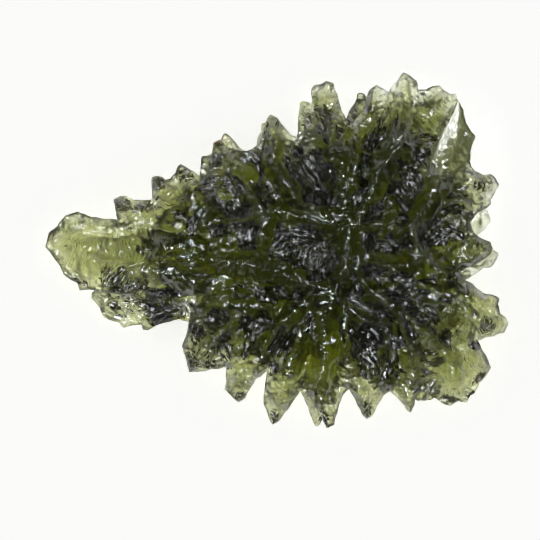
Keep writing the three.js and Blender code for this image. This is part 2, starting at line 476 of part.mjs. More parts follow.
function lowerLeaf() {
  const rim = LOWER_RIM.flat();
  const ridges = underRidges(rim);
  const middleAt = (x, y) => levelAt(x, y, LOWER_LEVELS) - surge(x, y);
  const top = (x, y, distance) => middleAt(x, y) + rounded(distance) + LOWER_RISE * swell(distance);
  const bottom = (x, y, distance) => {
    const plain = middleAt(x, y) - rounded(distance) - LOWER_DROP * swell(distance);
    const etched = Math.max(UNDER_CLEARANCE, plain - relief(x, y, distance, ridges, UNDER_SCOOPS));
    const foot = footShare(x, y);
    return etched * (1 - foot) - FOOT_REACH * foot;
  };
  return leaf(rim, ridges, top, bottom, footPoints());
}

function fin() {
  const middleAt = (x, y) => levelAt(x, y, FIN_LEVELS);
  const top = (x, y, distance) => middleAt(x, y) + rounded(distance) + FIN_RISE * swell(distance);
  const bottom = (x, y, distance) => middleAt(x, y) - rounded(distance) - FIN_DROP * swell(distance);
  return leaf(FIN_RIM.flat(), [], top, bottom);
}

// Everything under the ground plane, which wears the feet flat.
function ground() {
  const block = new THREE.BoxGeometry(GROUND_BLOCK, GROUND_BLOCK, GROUND_BLOCK);
  block.translate(0, 0, -GROUND_BLOCK / 2);
  block.deleteAttribute("normal");
  block.deleteAttribute("uv");
  const merged = mergeVertices(block);
  return solid(merged.attributes.position.array, new Uint32Array(merged.index.array));
}

function moldavite() {
  const stone = upperLeaf().add(lowerLeaf()).add(fin()).subtract(ground()).getMesh();
  const geometry = new THREE.BufferGeometry();
  geometry.setAttribute("position", new THREE.BufferAttribute(stone.vertProperties, 3));
  geometry.setIndex(new THREE.BufferAttribute(stone.triVerts, 1));
  geometry.computeBoundingBox();
  const centre = geometry.boundingBox.getCenter(new THREE.Vector3());
  geometry.translate(-centre.x, -centre.y, 0);
  geometry.computeVertexNormals();
  const mesh = new THREE.Mesh(geometry, new THREE.MeshStandardMaterial(GLASS));
  mesh.name = "moldavite";
  return mesh;
}

const group = new THREE.Group();
group.add(moldavite());

export default group;
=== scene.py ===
"""A hedgehog moldavite on a plain pale table, seen from straight above.

The stone is two leaves of green natural glass that are one in the middle and part at the rim, with a small
fin over the northeast rim. Each leaf is a closed sheet of fine triangles between its outline's two surfaces,
and the three are joined into one piece. Tables are in millimetres, and the finished mesh is in metres.
"""
import math
from collections import namedtuple
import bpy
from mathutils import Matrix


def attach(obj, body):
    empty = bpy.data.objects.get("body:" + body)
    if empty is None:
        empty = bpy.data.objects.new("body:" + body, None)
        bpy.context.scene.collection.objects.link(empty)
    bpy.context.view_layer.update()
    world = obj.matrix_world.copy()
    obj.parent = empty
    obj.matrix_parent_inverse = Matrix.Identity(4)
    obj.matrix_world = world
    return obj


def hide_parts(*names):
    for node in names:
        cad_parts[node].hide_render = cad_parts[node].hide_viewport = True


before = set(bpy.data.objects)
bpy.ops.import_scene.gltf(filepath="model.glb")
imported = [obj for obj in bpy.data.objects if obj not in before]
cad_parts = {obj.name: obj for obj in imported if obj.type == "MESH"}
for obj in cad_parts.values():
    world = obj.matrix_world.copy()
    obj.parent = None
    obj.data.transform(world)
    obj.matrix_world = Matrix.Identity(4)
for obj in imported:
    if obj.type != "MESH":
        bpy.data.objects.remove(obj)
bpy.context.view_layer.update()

from types import SimpleNamespace

import bpy
import numpy as np
from mathutils import Vector, kdtree
from mathutils.geometry import delaunay_2d_cdt

MM = 0.001

# ------------------------------
# The stone's tables: outlines, middle surfaces, ridges and scoops.

UPPER_RIM = [
    [[-22.9, 0.4], [-22.5, 1.9], [-21.8, 2.4], [-20.9, 3.5], [-19.6, 3.9], [-18.5, 3.4], [-17.3, 3.2],
     [-15.7, 3.1]],
    [[-15.9, 4.2], [-16, 5.1], [-15.4, 5.4], [-14.8, 5.5], [-14.1, 5.1], [-12.9, 5], [-12.2, 5.1]],
    [[-12.3, 6.7], [-12.2, 7.3], [-11.9, 7.4], [-11.2, 7.4], [-10.9, 7.1], [-10.5, 7.1]],
    [[-9.9, 7.8], [-9.8, 8.3], [-9.5, 8.7], [-9, 8.4], [-8, 7.9], [-7.3, 7.4]],
    [[-6.7, 7.8], [-6.3, 9.2], [-6.1, 10.8], [-5.4, 11.1], [-4.9, 10.4], [-4.5, 9.7]],
    [[-4.1, 10.2], [-3.5, 9.9], [-2.8, 10], [-2.2, 10.2], [-1.5, 10.7]],
    [[-1.1, 12], [-1, 12.7], [-0.4, 13.5], [0.2, 13.3], [0.6, 12.8], [1.2, 12.1], [1.7, 11.5], [2.3, 11.2]],
    [[3, 12.2], [3.4, 13.5], [3.7, 15.2], [3.6, 16.1], [4.1, 16.7], [4.6, 16.6], [5.1, 16.9], [5.8, 16.7]],
    [[6.2, 15.9], [6.4, 14.9], [6.8, 13.8], [7.2, 13.2]],
    [[7.8, 12.8], [8.6, 13.8], [9.1, 15], [9.5, 16], [10.2, 16.7], [10.6, 16.3], [11.4, 15.8]],
    [[12, 16], [12.3, 17], [12.9, 17.8], [13.4, 17.6], [14.2, 16.9], [14.4, 16.1]],
    [[15.1, 16.1], [15.8, 16.4], [16.5, 16.5], [17.1, 16], [17.6, 15.7], [18.2, 15.8], [18.4, 14.9]],
    [[18, 13.8], [17.4, 12.4], [16.6, 11], [15.9, 9.5], [16.1, 8.3], [17.3, 8]],
    [[18.3, 8.7], [19.5, 9.1], [19.6, 8.6], [20, 7.9], [20.7, 7.6], [21.5, 7.6], [22.1, 7.2], [22.4, 6.6]],
    [[21.9, 5.7], [21.5, 5.1], [21.6, 4.7], [21.2, 4.2], [20.3, 3.8], [19.5, 2.8], [19.9, 1.8]],
    [[20.9, 1.1], [21.5, 0.9], [21.7, 0.2], [21.4, -0.5], [20.5, -1.1], [19.3, -1.6], [18.5, -2.2],
     [18.7, -2.8]],
    [[19.5, -3.2], [20.9, -4.2], [21.7, -4.4], [22.5, -4.8], [22.2, -5.3], [22.5, -6.2]],
    [[23, -6.7], [23.3, -7.2], [22.9, -8.2], [22.3, -8.4], [21.5, -8.6], [20.3, -9]],
    [[20.7, -9.8], [21.4, -11], [21.7, -11.7], [21.2, -12.5], [20.5, -13.2], [20.2, -14.1], [19.6, -14.5]],
    [[19.2, -15.2], [18.4, -15.1], [17.6, -15.5], [16.9, -15.3], [16.1, -14.8], [15.3, -14.3],
     [14.6, -13.9]],
    [[14.1, -14.4], [13.9, -15.3], [13.6, -16.2], [13.1, -15.8], [12.4, -14.9], [11.5, -14.1]],
    [[10.9, -14.5], [10.4, -15.4], [9.7, -16.6], [9.2, -16.9], [8.8, -16.5], [8.1, -15.1], [7.4, -13.9]],
    [[6.9, -14.4], [6.5, -15.3], [6.1, -16.5], [5.9, -17.4], [5.2, -17.8], [4.9, -17.1], [4.3, -16]],
    [[3.6, -14.8], [3, -13.8], [2.6, -14.1]],
    [[2.1, -14.7], [1.2, -16], [0.3, -17.1], [-0.2, -17.5], [-0.6, -16.7], [-1.1, -15.2], [-1.1, -14.2],
     [-0.8, -12.1]],
    [[-1.7, -12.7], [-2.3, -13.6], [-2.9, -14.7], [-3.5, -15.2], [-4.2, -14.6], [-5, -13.8], [-4.8, -12.8],
     [-4.9, -11.7]],
    [[-6, -11.8], [-7.5, -12.1], [-8.5, -12.1], [-8.7, -11.4], [-9.1, -10], [-9.2, -9.6], [-8.8, -8.2],
     [-8.5, -7]],
    [[-7.7, -5.6], [-6.9, -4.3]],
    [[-9.5, -4.7], [-11.5, -4.6], [-13.4, -4], [-15, -4.4], [-16.7, -4.2], [-18.4, -3.9]],
    [[-19.5, -4], [-19.8, -3.3], [-21.1, -2.4], [-21.5, -1.5], [-22.2, -0.6]],
]
LOWER_RIM = [
    [[-16.7, -3], [-15.7, -1.2], [-14, 0.5], [-12.3, 2.2], [-10.5, 3.8], [-8.7, 5.4], [-7.7, 6.6]],
    [[-7.4, 8.5], [-7.4, 9.4], [-6.8, 9.5], [-6.2, 9.8], [-5.8, 10.4], [-5.3, 11.2]],
    [[-5.1, 11.8], [-4.5, 11.5], [-4, 10.9], [-3.4, 10.2], [-2.5, 9.8], [-1.9, 10.3]],
    [[-1.7, 11.3], [-1.3, 11.9], [-1.4, 12.8], [-0.8, 12.8], [-0.3, 11.5], [0.9, 10.4], [2.1, 10.8]],
    [[2.3, 12], [2.4, 13.7], [2.6, 14.9], [3.5, 14.9], [4.1, 13.5], [5.3, 12.2], [6.5, 12.2], [7.2, 13.2]],
    [[7.6, 14.2], [8.2, 15.2], [8.3, 15.9], [9.1, 15.7], [9.7, 14.8], [10.7, 14.6]],
    [[11.3, 15.6], [11.9, 16.8], [12.3, 17.1], [12.9, 15.8], [14.1, 14.6], [15.5, 14.2], [17, 14.6]],
    [[18.1, 15], [18.7, 14.3], [18.9, 13], [19.5, 11.8], [20.1, 11.4], [19.7, 10.9], [19.4, 9.8]],
    [[19.4, 8.7], [18.9, 7.2], [19.1, 5.8], [20.1, 4.5]],
    [[21.3, 4], [21.5, 3.4], [21.7, 2.9], [20.9, 2], [20.1, 1.4], [19.5, 0.8], [20.3, 0.3]],
    [[21.6, 0.4], [22.5, -0.3], [22.4, -0.8], [21.7, -1.6], [21, -1.8], [19.5, -2.7], [18.8, -3.1]],
    [[18.9, -4.5], [19.7, -6], [19.5, -7.5], [18.5, -9], [18, -10.8], [16.9, -12.8]],
    [[16.2, -14.2], [15.8, -15], [15.2, -15.1], [14.5, -15.1], [14, -14.9], [13.3, -13.8], [12.3, -13]],
    [[11.3, -14], [10.1, -13.4], [8.7, -12.6], [7, -12.4], [5.7, -14]],
    [[4.9, -16], [4.6, -17.4], [4.2, -17.7], [3.8, -17.2], [3.3, -15.6], [2.6, -14.1], [1.7, -12.8],
     [0.3, -11.5]],
    [[-1.3, -10.2], [-3, -10.2], [-4.7, -10.5], [-6.3, -10.2], [-7.5, -8.8], [-8.4, -7.2]],
    [[-9.5, -6.9], [-10.7, -7.2], [-11.8, -7.5], [-12.8, -8], [-13.2, -7.9], [-13.4, -7.4]],
    [[-14.3, -7.5], [-15.1, -7.8], [-15.6, -7.3], [-16.6, -7], [-17.1, -6.7], [-17.6, -5.7], [-18.4, -4.8],
     [-18.3, -4.2]],
]
FIN_RIM = [
    [[17.3, 12.7], [17.8, 13.8], [18.3, 15], [18.8, 14], [19, 12.7], [20, 11.4], [19.5, 10], [19.5, 9]],
    [[18.6, 8], [17.4, 7.2], [16.2, 6.6], [15.2, 7.4], [15.5, 8.8], [16, 9.9], [16.4, 11]],
]

UPPER_LEVELS = [
    [7, 2, 5.9], [0, 0, 5.9], [-8, 0, 5.7], [14, -4, 5.9], [12, 8, 5.5], [-22, 0.5, 4.9], [-16, 5, 5.6],
    [-12, 7, 5], [-9.5, 8.5, 5.3], [-5.6, 11, 5], [-0.4, 13.5, 6], [5, 16.5, 4.9], [10, 16, 4.4],
    [13, 17.5, 4.8], [17.5, 15.5, 4.1], [22, 7, 5.2], [21.5, 1, 5.8], [22.8, -5, 6.2], [23, -8, 5.5],
    [21, -12.5, 4.5], [17.6, -15.3, 4.3], [13.6, -16, 5.4], [9.2, -16.8, 4.8], [5.2, -17.7, 5.7],
    [-0.2, -17.4, 4.9], [-3.5, -15, 5.7], [-8.5, -12, 6.2], [-7.7, -5.6, 6], [-15, -4, 5],
]
LOWER_LEVELS = [
    [5, 0, 3.6], [-6, 0, 3.5], [-15, -7, 2.5], [-9.5, -7, 3.2], [-7.4, 9, 4.3], [-5, 11.5, 3.3],
    [-1.4, 12.5, 4.4], [2.6, 14.5, 3], [8, 15.5, 3.3], [12, 16.5, 2.7], [19, 11, 2.5], [21.5, 3, 3.8],
    [22, -1, 3.3], [19, -7, 4.2], [15, -15, 3.4], [4.2, -17.5, 3.8], [-4, -10, 4], [-15, -1, 4],
]
FIN_LEVELS = [[18.3, 15, 7], [20, 11.4, 7.1], [17, 11, 7], [18.5, 9, 6.5], [16, 7, 6.3]]

RIDGES = {
    "south": [2.6, [[7.3, 2.4, 2], [7, -1.2, 2], [6.3, -3.5, 1.9], [5.1, -5.2, 1.9], [4.8, -7, 1.9],
        [4.9, -9.5, 1.7], [4.6, -12.2, 1.2], [4.3, -15, 0.7], [5.1, -17.4, 0.2]]],
    "westOuter": [2.2, [[-20.5, 0.7, 0.2], [-17.5, 0, 0.6], [-14.5, 0.2, 1], [-11, 0.4, 1.2],
        [-7.5, 0.1, 1]]],
    "westInner": [2.4, [[-8.5, -0.6, 0.9], [-5, -1.2, 1.8], [-2.5, -1.5, 2.2], [-0.3, -1.8, 2.2],
        [1.5, -2.7, 1.9], [3.5, -3.4, 1.7], [6, -3.7, 1.6]]],
    "westLower": [1.8, [[-15, -1.2, 0.4], [-12.8, -2, 1], [-10, -2.5, 1.3], [-7.5, -3.2, 1.4],
        [-5.3, -3.3, 1]]],
    "plateEdge": [1.6, [[-3.5, -4.2, 1.3], [-5.3, -3.9, 1.5], [-6.8, -4.6, 1.6], [-7.5, -5.7, 1.3],
        [-8.2, -7.1, 0.9], [-8.8, -9.5, 0.3]]],
    "plate": [1.8, [[-5, -5.2, 1.1], [-1.3, -5.5, 1.1], [1, -6.2, 0.9]]],
    "southwestBlade": [1.7, [[2.5, -5.6, 1.4], [0.5, -7, 1.8], [-0.9, -8.8, 1.8], [-1.5, -10.8, 1.3],
        [-1.9, -12.2, 0.7], [-3.2, -14.8, 0.2]]],
    "southTooth": [2, [[2.8, -7.5, 1], [2.1, -10, 1.3], [1.1, -12.2, 1.2], [0.4, -14.5, 0.8],
        [-0.2, -17.3, 0.2]]],
    "southwestLobe": [1.6, [[-3.5, -8, 0.8], [-3.9, -10.5, 0.8], [-3.7, -13, 0.7], [-3.5, -14.9, 0.2]]],
    "cornerLobe": [1.8, [[-4, -6.8, 1], [-6, -8.5, 1], [-7.5, -10.5, 0.7], [-8.4, -11.9, 0.2]]],
    "northPlate": [2.2, [[7.1, 3.5, 2], [6.7, 6, 2], [6.3, 9, 1.9], [5.5, 12.5, 1.2], [5, 16.5, 0.2]]],
    "northPlateEast": [1.8, [[7, 5, 1.6], [7.7, 8.5, 1.8], [8.1, 11, 1.5], [9, 13.8, 0.9],
        [10.2, 16.5, 0.2]]],
    "northeast": [2.2, [[7.7, 2.8, 1.8], [9.7, 5.2, 2], [10.7, 8.2, 2.1], [12, 9.8, 1.9], [12.9, 11.2, 1.5],
        [12.8, 14.2, 0.9], [12.9, 17.5, 0.2]]],
    "northeastBranch": [1.3, [[12.9, 11, 1.3], [11, 10.2, 1.2], [9.7, 8.5, 1]]],
    "northeastLobe": [2.4, [[13, 10, 1.1], [14.5, 12.5, 0.8], [16.5, 14.5, 0.6], [18, 15.4, 0.2]]],
    "eastDiagonal": [2, [[12, 1.5, 1.5], [13.7, 2.6, 2.2], [15.1, 4.4, 2.4], [16.3, 6, 2.2],
        [17.3, 7.4, 1.2]]],
    "eastTail": [1.4, [[13.7, 2.6, 1.9], [13.9, 1.2, 1.6], [14.4, 0, 1.4], [15.5, -1.2, 1]]],
    "eastLobe": [1.8, [[17.3, 7.2, 1], [20, 6.9, 0.8], [22.1, 6.8, 0.2]]],
    "eastLobeLow": [1.6, [[16.5, 4.5, 0.9], [19, 4.7, 0.8], [21.3, 4.7, 0.2]]],
    "eastTongue": [2, [[15.5, -1.2, 0.9], [17.7, -0.8, 1], [20, 0.2, 0.8], [21.5, 0.5, 0.2]]],
    "eastArc": [1.6, [[9.3, -0.7, 1.2], [11, -1.4, 1.5], [12.7, -1.5, 1.5], [13.9, -0.8, 1.4],
        [14.7, -0.6, 1.2], [16.5, -2.2, 1.2], [18, -2.5, 0.6]]],
    "hubEast": [1.3, [[7.7, 2.4, 1.6], [9, 2.4, 1.4], [10.3, 2.8, 1.2], [12, 2.8, 1.2], [13.3, 2.4, 1.5]]],
    "southeastTop": [1.7, [[14.5, -3.5, 1.2], [16.5, -4, 1.3], [18.5, -4, 1.3], [20.3, -4.5, 1],
        [22.3, -4.9, 0.2]]],
    "southeastMiddle": [1.8, [[15.5, -5, 0.9], [18, -6, 1], [20.5, -6.8, 0.8], [23, -7.3, 0.2]]],
    "southeastLow": [1, [[18, -6, 0.9], [19.5, -7.2, 0.8], [20.7, -8.5, 0.2]]],
    "southeast": [1.9, [[8, -2, 1.5], [9.7, -4.3, 1.6], [11.7, -5.5, 1.6], [12.9, -7, 1.6],
        [13.5, -9.5, 1.4], [13.7, -13, 0.8], [13.6, -15.9, 0.2]]],
    "fan": [2, [[12.9, -6.2, 1], [15, -8, 1.1], [17, -10.5, 0.9], [17.8, -12.5, 0.6], [17.7, -15.2, 0.2]]],
    "fanEdge": [1.4, [[16.5, -7.5, 1], [18.7, -9, 1.1], [20.3, -10.5, 0.8], [21.4, -11.7, 0.2]]],
    "southeastTooth": [1.5, [[6.8, -5, 0.8], [7, -8.5, 1], [7.5, -11.5, 1], [8.4, -13.7, 0.8],
        [9.2, -16.6, 0.2]]],
    "southeastToothEast": [1.4, [[11, -7.5, 1], [11.3, -10, 1], [11.1, -12.5, 0.7], [9.7, -15.8, 0.2]]],
    "arc": [1.2, [[7.3, -5.5, 1.2], [8.5, -6.8, 1.2], [10.3, -7.2, 1.2], [11.7, -6.4, 1.1]]],
    "northwest": [2, [[6, 2.8, 1.6], [4.3, 3.8, 1.6], [2.3, 5.1, 1.8], [1, 6.8, 1.8], [-0.3, 8.7, 1.5],
        [-0.3, 11, 0.9], [-0.4, 13.2, 0.2]]],
    "northwestOuter": [1.8, [[-0.7, 2.8, 1.3], [-2, 5, 1.4], [-3.2, 7.5, 1.2], [-4.7, 9.5, 0.7],
        [-5.6, 10.8, 0.2]]],
    "spur": [1.2, [[-0.7, 2.9, 1.3], [-1.4, 1.6, 1.2], [-1.6, -0.2, 0.8]]],
    "west": [1.6, [[7, 2.8, 1.7], [4.5, 2.8, 1.6], [1.5, 3.7, 1.4], [-1.3, 3.6, 1.2], [-4, 2.8, 0.9],
        [-7, 2.5, 0.5]]],
    "cupTooth": [1.6, [[-6.5, 3.8, 1], [-8, 5.5, 1], [-8.8, 7.2, 0.7], [-9.4, 8.4, 0.2]]],
    "westTooth": [1.5, [[-8.5, 4.5, 0.8], [-10.7, 5.3, 0.9], [-11.7, 6.2, 0.7], [-12.1, 7.1, 0.3]]],
    "westSpur": [1.6, [[-10, 2.8, 0.7], [-12.5, 3.6, 0.7], [-14.5, 4.2, 0.6], [-15.6, 5.1, 0.3]]],
    "westRim": [1.2, [[-14.5, 2.2, 0.5], [-17.5, 2.4, 0.5], [-20, 2.6, 0.4], [-21.6, 1.7, 0.2]]],
}

SCOOPS = [
    [-3.5, -0.2, 2.4, 1, 4, 0.8], [1.1, -0.1, 2.6, 1.3, -6, 0.9], [-5.9, 5.1, 1.9, 1.3, 8, 0.7],
    [11.5, -0.5, 2.4, 0.8, -4, 0.6], [12.7, 2.8, 0.9, 0.6, -20, 0.7], [17.2, -8.6, 0.6, 1.1, 0, 0.9],
    [4.3, 7.6, 1.6, 2.9, 24, 0.8], [13.6, 6.6, 1.7, 2.3, -30, 0.8], [11, 0.9, 1.6, 0.9, 10, 0.6],
    [4.6, -0.5, 1.5, 2.1, -14, 0.7], [9.2, -2.8, 1.2, 1.2, 0, 0.6], [9.5, -9, 1.3, 1.9, 10, 0.6],
    [0.6, -4.4, 2, 0.9, -18, 0.6], [-3.9, -8.6, 1.7, 1.2, 20, 0.5], [14.9, 9.6, 1.2, 1.9, -14, 0.6],
    [-6, 1.7, 2.2, 0.9, 8, 0.6], [18.3, -0.4, 1.6, 0.8, 22, 0.5], [15.4, 0.6, 1.1, 1.4, 0, 0.5],
]
UNDER_SCOOPS = [
    [-8, -3, 2.6, 1.6, 10, 0.7], [-3, 4.5, 2.2, 1.7, 40, 0.7], [9, 6.5, 2.4, 1.8, 60, 0.7],
    [15, 1, 2.4, 1.6, 0, 0.7], [10, -7, 2.4, 1.6, -50, 0.7], [1, -6.5, 1.8, 2.4, -10, 0.7],
]

# Hollows on top with striated or crumpled ground. Each row has its centre, its half-sizes along and across
# the striations, the striations' direction in degrees and how rough the ground is.
PATCHES = [
    [3.2, 7.2, 3.3, 1.5, -58, 1], [5, 8, 2.4, 1.2, -62, 1], [-4, 7, 1.7, 1, -55, 1],
    [-0.9, 5.5, 1.5, 1.2, -60, 0.6], [-6.6, 6.2, 1.4, 0.8, 10, 0.8], [-3.7, 3.4, 1.5, 1, -50, 1],
    [-2.3, 1.4, 1.6, 1.2, 80, 1], [-5.7, 1.8, 0.9, 1.4, 70, 1], [1.8, 1.5, 2.4, 1.1, 10, 1],
    [4.2, 1.4, 1.8, 1, -55, 1], [4.9, -1.2, 1.9, 1, 75, 0.9], [3.7, -3, 1.2, 0.8, 20, 0.8],
    [-1, -4.3, 1.4, 0.9, -45, 1], [1.9, -4.7, 1.2, 1, 0, 0.8], [-3.1, -3.2, 0.9, 0.5, -10, 1],
    [-6.9, -2.2, 1.7, 0.7, -18, 0.8], [-8.8, -0.7, 1.8, 0.5, -5, 1], [-3, -7.6, 2, 0.9, -60, 1],
    [-5.5, -7.4, 1.5, 1.4, -40, 0.9], [-7.6, -8.2, 1.2, 0.8, -55, 0.9], [-4.4, -9.8, 1.4, 1.3, -60, 0.9],
    [-6.8, -10, 1.2, 0.9, 60, 0.6], [-1, -7, 1.1, 0.8, -45, 0.8], [0.4, -9.2, 2.6, 1.2, 65, 1],
    [2.9, -7.6, 1.6, 0.8, 65, 0.8], [6.6, -8, 1.3, 0.7, -70, 1], [7.9, -9, 2.2, 0.5, -70, 0.8],
    [9.8, -8.3, 1.5, 1, -30, 1], [9.6, -11, 2, 1.2, -60, 0.8], [11.3, -10.5, 2.6, 0.5, -85, 0.9],
    [13.2, -7.6, 2.2, 0.9, -75, 1], [12.3, -9.6, 1.8, 0.6, -60, 0.8], [14.7, -7.2, 1.2, 0.7, -70, 1],
    [15.5, -8.4, 1.6, 0.7, -50, 0.8], [16.9, -9.3, 1.9, 0.8, -80, 1], [15.4, -10.5, 1, 1.2, 0, 0.8],
    [15.2, -12.3, 1.3, 0.6, -10, 0.6], [13.8, -5.9, 0.9, 0.9, 0, 0.8], [15.8, -6.4, 1.5, 0.6, -60, 0.8],
    [17, -5, 0.8, 0.5, 10, 1], [18.3, -5.6, 1, 0.5, -60, 0.9], [14.6, -3.5, 1.7, 0.9, 12, 1],
    [12, -4.2, 2.6, 0.7, 5, 0.9], [12.2, -2.7, 0.8, 0.5, 0, 0.8], [9.5, -1.9, 1.6, 0.7, 5, 1],
    [8.3, -3.4, 1.6, 0.5, -75, 0.8], [10, -5.6, 2, 0.7, -30, 0.8], [7.8, -1.8, 2, 0.5, -85, 0.7],
    [11.3, 0.6, 1.3, 1, -20, 1], [9.2, 0.9, 1.4, 0.8, 80, 0.7], [13.2, 0.9, 0.9, 0.8, 60, 0.8],
    [15.6, 1.5, 1.4, 1.4, 40, 0.9], [17.8, 1.7, 1.3, 0.9, -30, 0.8], [17.9, 4.2, 1.3, 0.9, 0, 0.9],
    [12.6, 2.9, 0.8, 0.6, -20, 1], [9.8, 3.5, 2, 0.8, 25, 0.9], [12.3, 5.6, 1.5, 1.1, -50, 1],
    [13.7, 7.6, 1.6, 1.1, -45, 1], [15, 9.6, 1.6, 1, -60, 0.8], [14.9, 10.8, 1.4, 0.7, 10, 1],
    [18.6, 5.8, 1.3, 1, 0, 0.6], [8.2, 8, 1.6, 0.7, -62, 1], [9.2, 9.6, 2.2, 0.7, 80, 0.6],
    [8.5, 5, 1.2, 0.8, 60, 0.7], [-15, -2.5, 1.4, 1.8, 50, 0.7], [-13.2, -3.3, 1.2, 0.9, 50, 0.8],
    [-11, -4.3, 2.2, 0.5, -10, 0.9], [-12.3, -2.2, 1.8, 0.4, -12, 0.8], [-9.9, 3.2, 1.3, 0.8, 10, 0.8],
    [-12.6, 4, 1.6, 0.5, 60, 0.7], [-9.9, 5, 1.6, 0.7, 10, 0.5], [-15.2, 4.7, 0.8, 0.6, 0, 0.8],
    [-11.6, 6.6, 1, 0.6, -60, 0.7], [-2.3, 9, 1.6, 0.9, -60, 0.8], [-0.7, 11, 2, 0.8, 75, 0.6],
    [4.2, 12.9, 1.8, 0.9, -45, 0.8], [5.6, 11.4, 1.6, 0.6, -45, 0.9], [10.5, 12.6, 1.6, 0.8, 80, 0.5],
    [12, 12, 1.6, 0.4, 85, 0.6], [-13.6, -5.4, 2.2, 0.8, -10, 0.9], [-11.2, -6.4, 1.6, 0.7, 20, 0.8],
    [19.6, -10.8, 2.8, 1.3, -50, 0.35], [19.6, -6, 2.4, 1.4, -50, 0.35], [17.5, -13, 2.2, 1.4, -70, 0.35],
    [5.6, 12, 2, 0.9, -40, 0.7], [10.6, 10.8, 1.2, 1, 40, 0.5], [-20.5, 1.6, 3, 1.2, 20, 0.3],
    [-18, 2.4, 2.4, 0.7, 0, 0.4], [-20.3, -2.3, 2.4, 0.6, -45, 0.6], [-16.5, -0.5, 1.3, 0.6, -20, 0.6],
    [6.2, 4.6, 1.1, 0.9, 60, 0.8], [7.8, 3.3, 1.5, 0.7, 15, 0.8], [10.9, 5.2, 0.9, 0.8, 60, 0.8],
    [-3.6, 6.2, 2.2, 0.7, -65, 0.8], [-5.6, 5, 1.6, 0.6, -60, 0.7], [-1.6, 5.2, 1.6, 0.5, -65, 0.7],
    [-6.4, 7.2, 1.5, 0.6, -50, 0.6], [-2.6, -9, 2, 0.7, 60, 0.7], [1.4, -9.6, 2.2, 0.6, 75, 0.6],
]

# Smooth clear ground. Each row here and in the tables below has its centre, two half-sizes, the first
# one's direction in degrees and a strength.
SMOOTHS = [
    [-18.5, 0.3, 4.5, 3.6, 0, 0.7], [-11.5, 2.6, 3.6, 1.5, -15, 1], [-9.6, 0.9, 3.4, 0.8, -8, 1],
    [-12.2, -1, 3, 0.6, 0, 1], [-5, -0.8, 5.5, 0.8, -3, 1], [-4, -2, 7, 0.8, -6, 1],
    [-3.4, -3.1, 5.2, 0.5, -4, 1], [1.6, -2.2, 2, 0.9, -20, 1], [-6.8, -5, 4.6, 0.7, -4, 1],
    [-10.5, -3.5, 2.6, 0.4, -6, 1], [7.3, 10.2, 2.6, 1.4, 60, 1], [7, 7.2, 1.9, 0.6, -65, 1],
    [0.8, 7.3, 2.5, 0.8, -58, 1], [-2.3, 7.8, 1.3, 0.7, -60, 1], [10.9, 7, 2.9, 0.7, 75, 1],
    [13.1, 13.2, 2.6, 0.6, 85, 1], [16.2, 5, 3.3, 0.8, 56, 1], [11.3, 2.6, 2, 0.5, 60, 1],
    [3.2, 4, 3.6, 0.6, 3, 1], [-0.4, 1.8, 1.6, 0.4, 75, 1], [7.7, 0.6, 1.7, 0.8, 85, 1],
    [6.4, -2.6, 2.3, 0.8, 70, 1], [11.6, -0.7, 2, 0.5, -8, 1], [14.8, -2.2, 1.5, 0.8, 10, 1],
    [15.8, -0.2, 1.2, 1, 0, 1], [18.8, -0.6, 2.4, 0.7, 5, 1], [6, -7, 3.5, 0.9, 78, 1],
    [4.3, -11, 2.6, 3.2, 0, 1], [6.5, -11, 1.2, 2.8, 0, 1], [-0.5, -8.2, 2.3, 0.6, 62, 1],
    [12.6, -10.8, 1.5, 0.9, 45, 1], [20.5, -6.2, 2.4, 2, 0, 0.6], [18.4, -12, 3, 2.4, 0, 0.6],
    [16.5, 14, 2.6, 2.4, 0, 0.6], [18.2, 12, 2.2, 4.4, 0, 1],
]

# Places near the rim darkened with painted shade.
PAINTED_SHADE_SPOTS = [
    [-10.8, -5.6, 3, 1.9, 0, 0.9], [-15.4, -4, 2.8, 1.3, -15, 0.6], [-16.4, -2.6, 1.4, 1.6, 0, 0.5],
    [-16, -6, 1.6, 1, -30, 0.5], [4.8, 13.7, 1.3, 1, 0, 0.8], [2.9, 13.2, 0.6, 2, 0, 0.5],
    [17, -8.6, 0.6, 1.1, 0, 1.2], [16, -10.9, 1.3, 0.6, 0, 1], [15, -12, 1.4, 0.5, -10, 0.8],
    [11.5, -11.8, 2.2, 1.4, 0, 0.5], [20, -9.4, 0.8, 0.5, 0, 1], [21.2, -7.4, 1.2, 1.2, 0, 0.6],
    [20.4, -12.8, 1.2, 0.5, 40, 0.9], [17.6, -15, 1.4, 0.5, -20, 0.9], [19.6, -14.6, 0.8, 0.5, 30, 0.9],
    [-15.3, 4.6, 1, 1, 0, 0.8], [-13, 4.2, 2.4, 0.8, 10, 0.5], [-11.8, 6.6, 0.8, 0.9, 0, 0.8],
    [-9, 7.4, 1, 1, 0, 0.6], [-5.8, 9, 1, 0.9, 0, 0.6], [-8.3, -11, 1.2, 1.4, 0, 0.9],
    [-5.8, -11.4, 2.4, 0.8, 0, 0.6], [-3.4, -14.4, 0.6, 0.7, 0, 0.8], [5, -16.8, 0.6, 1.2, 0, 0.9],
    [-0.2, -16.4, 0.5, 1.2, 0, 0.7], [9.3, -15.8, 0.6, 1.4, 0, 0.6], [20.4, 6.4, 1.6, 0.8, 0, 0.6],
]

# Pale clean ends of the lobes.
PALES = [
    [13, 15.5, 6, 2.4, -10, 1.5], [20.6, 6.2, 2.6, 2.4, 0, 1.3], [18.2, 12, 2.4, 5, 0, 2],
    [20.6, 3, 1.5, 1.6, 0, 2], [21, -1.5, 2.6, 1, 25, 2], [5, 16.2, 1.6, 1.2, 0, 1.2],
    [-20, 3.1, 1.6, 0.6, 15, 1],
]

# The thick middle of the stone, where hollows get painted shade.
DEEP = [[4.5, 0, 17, 14.5, 0, 2]]
# The inner end of the lower sheet where it shows past the upper one, darkened with painted shade for the
# upper sheet's shadow.
LOWER_PAINTED_SHADE = [[-10.9, -5.6, 2.7, 2.8, 0, 1.6]]
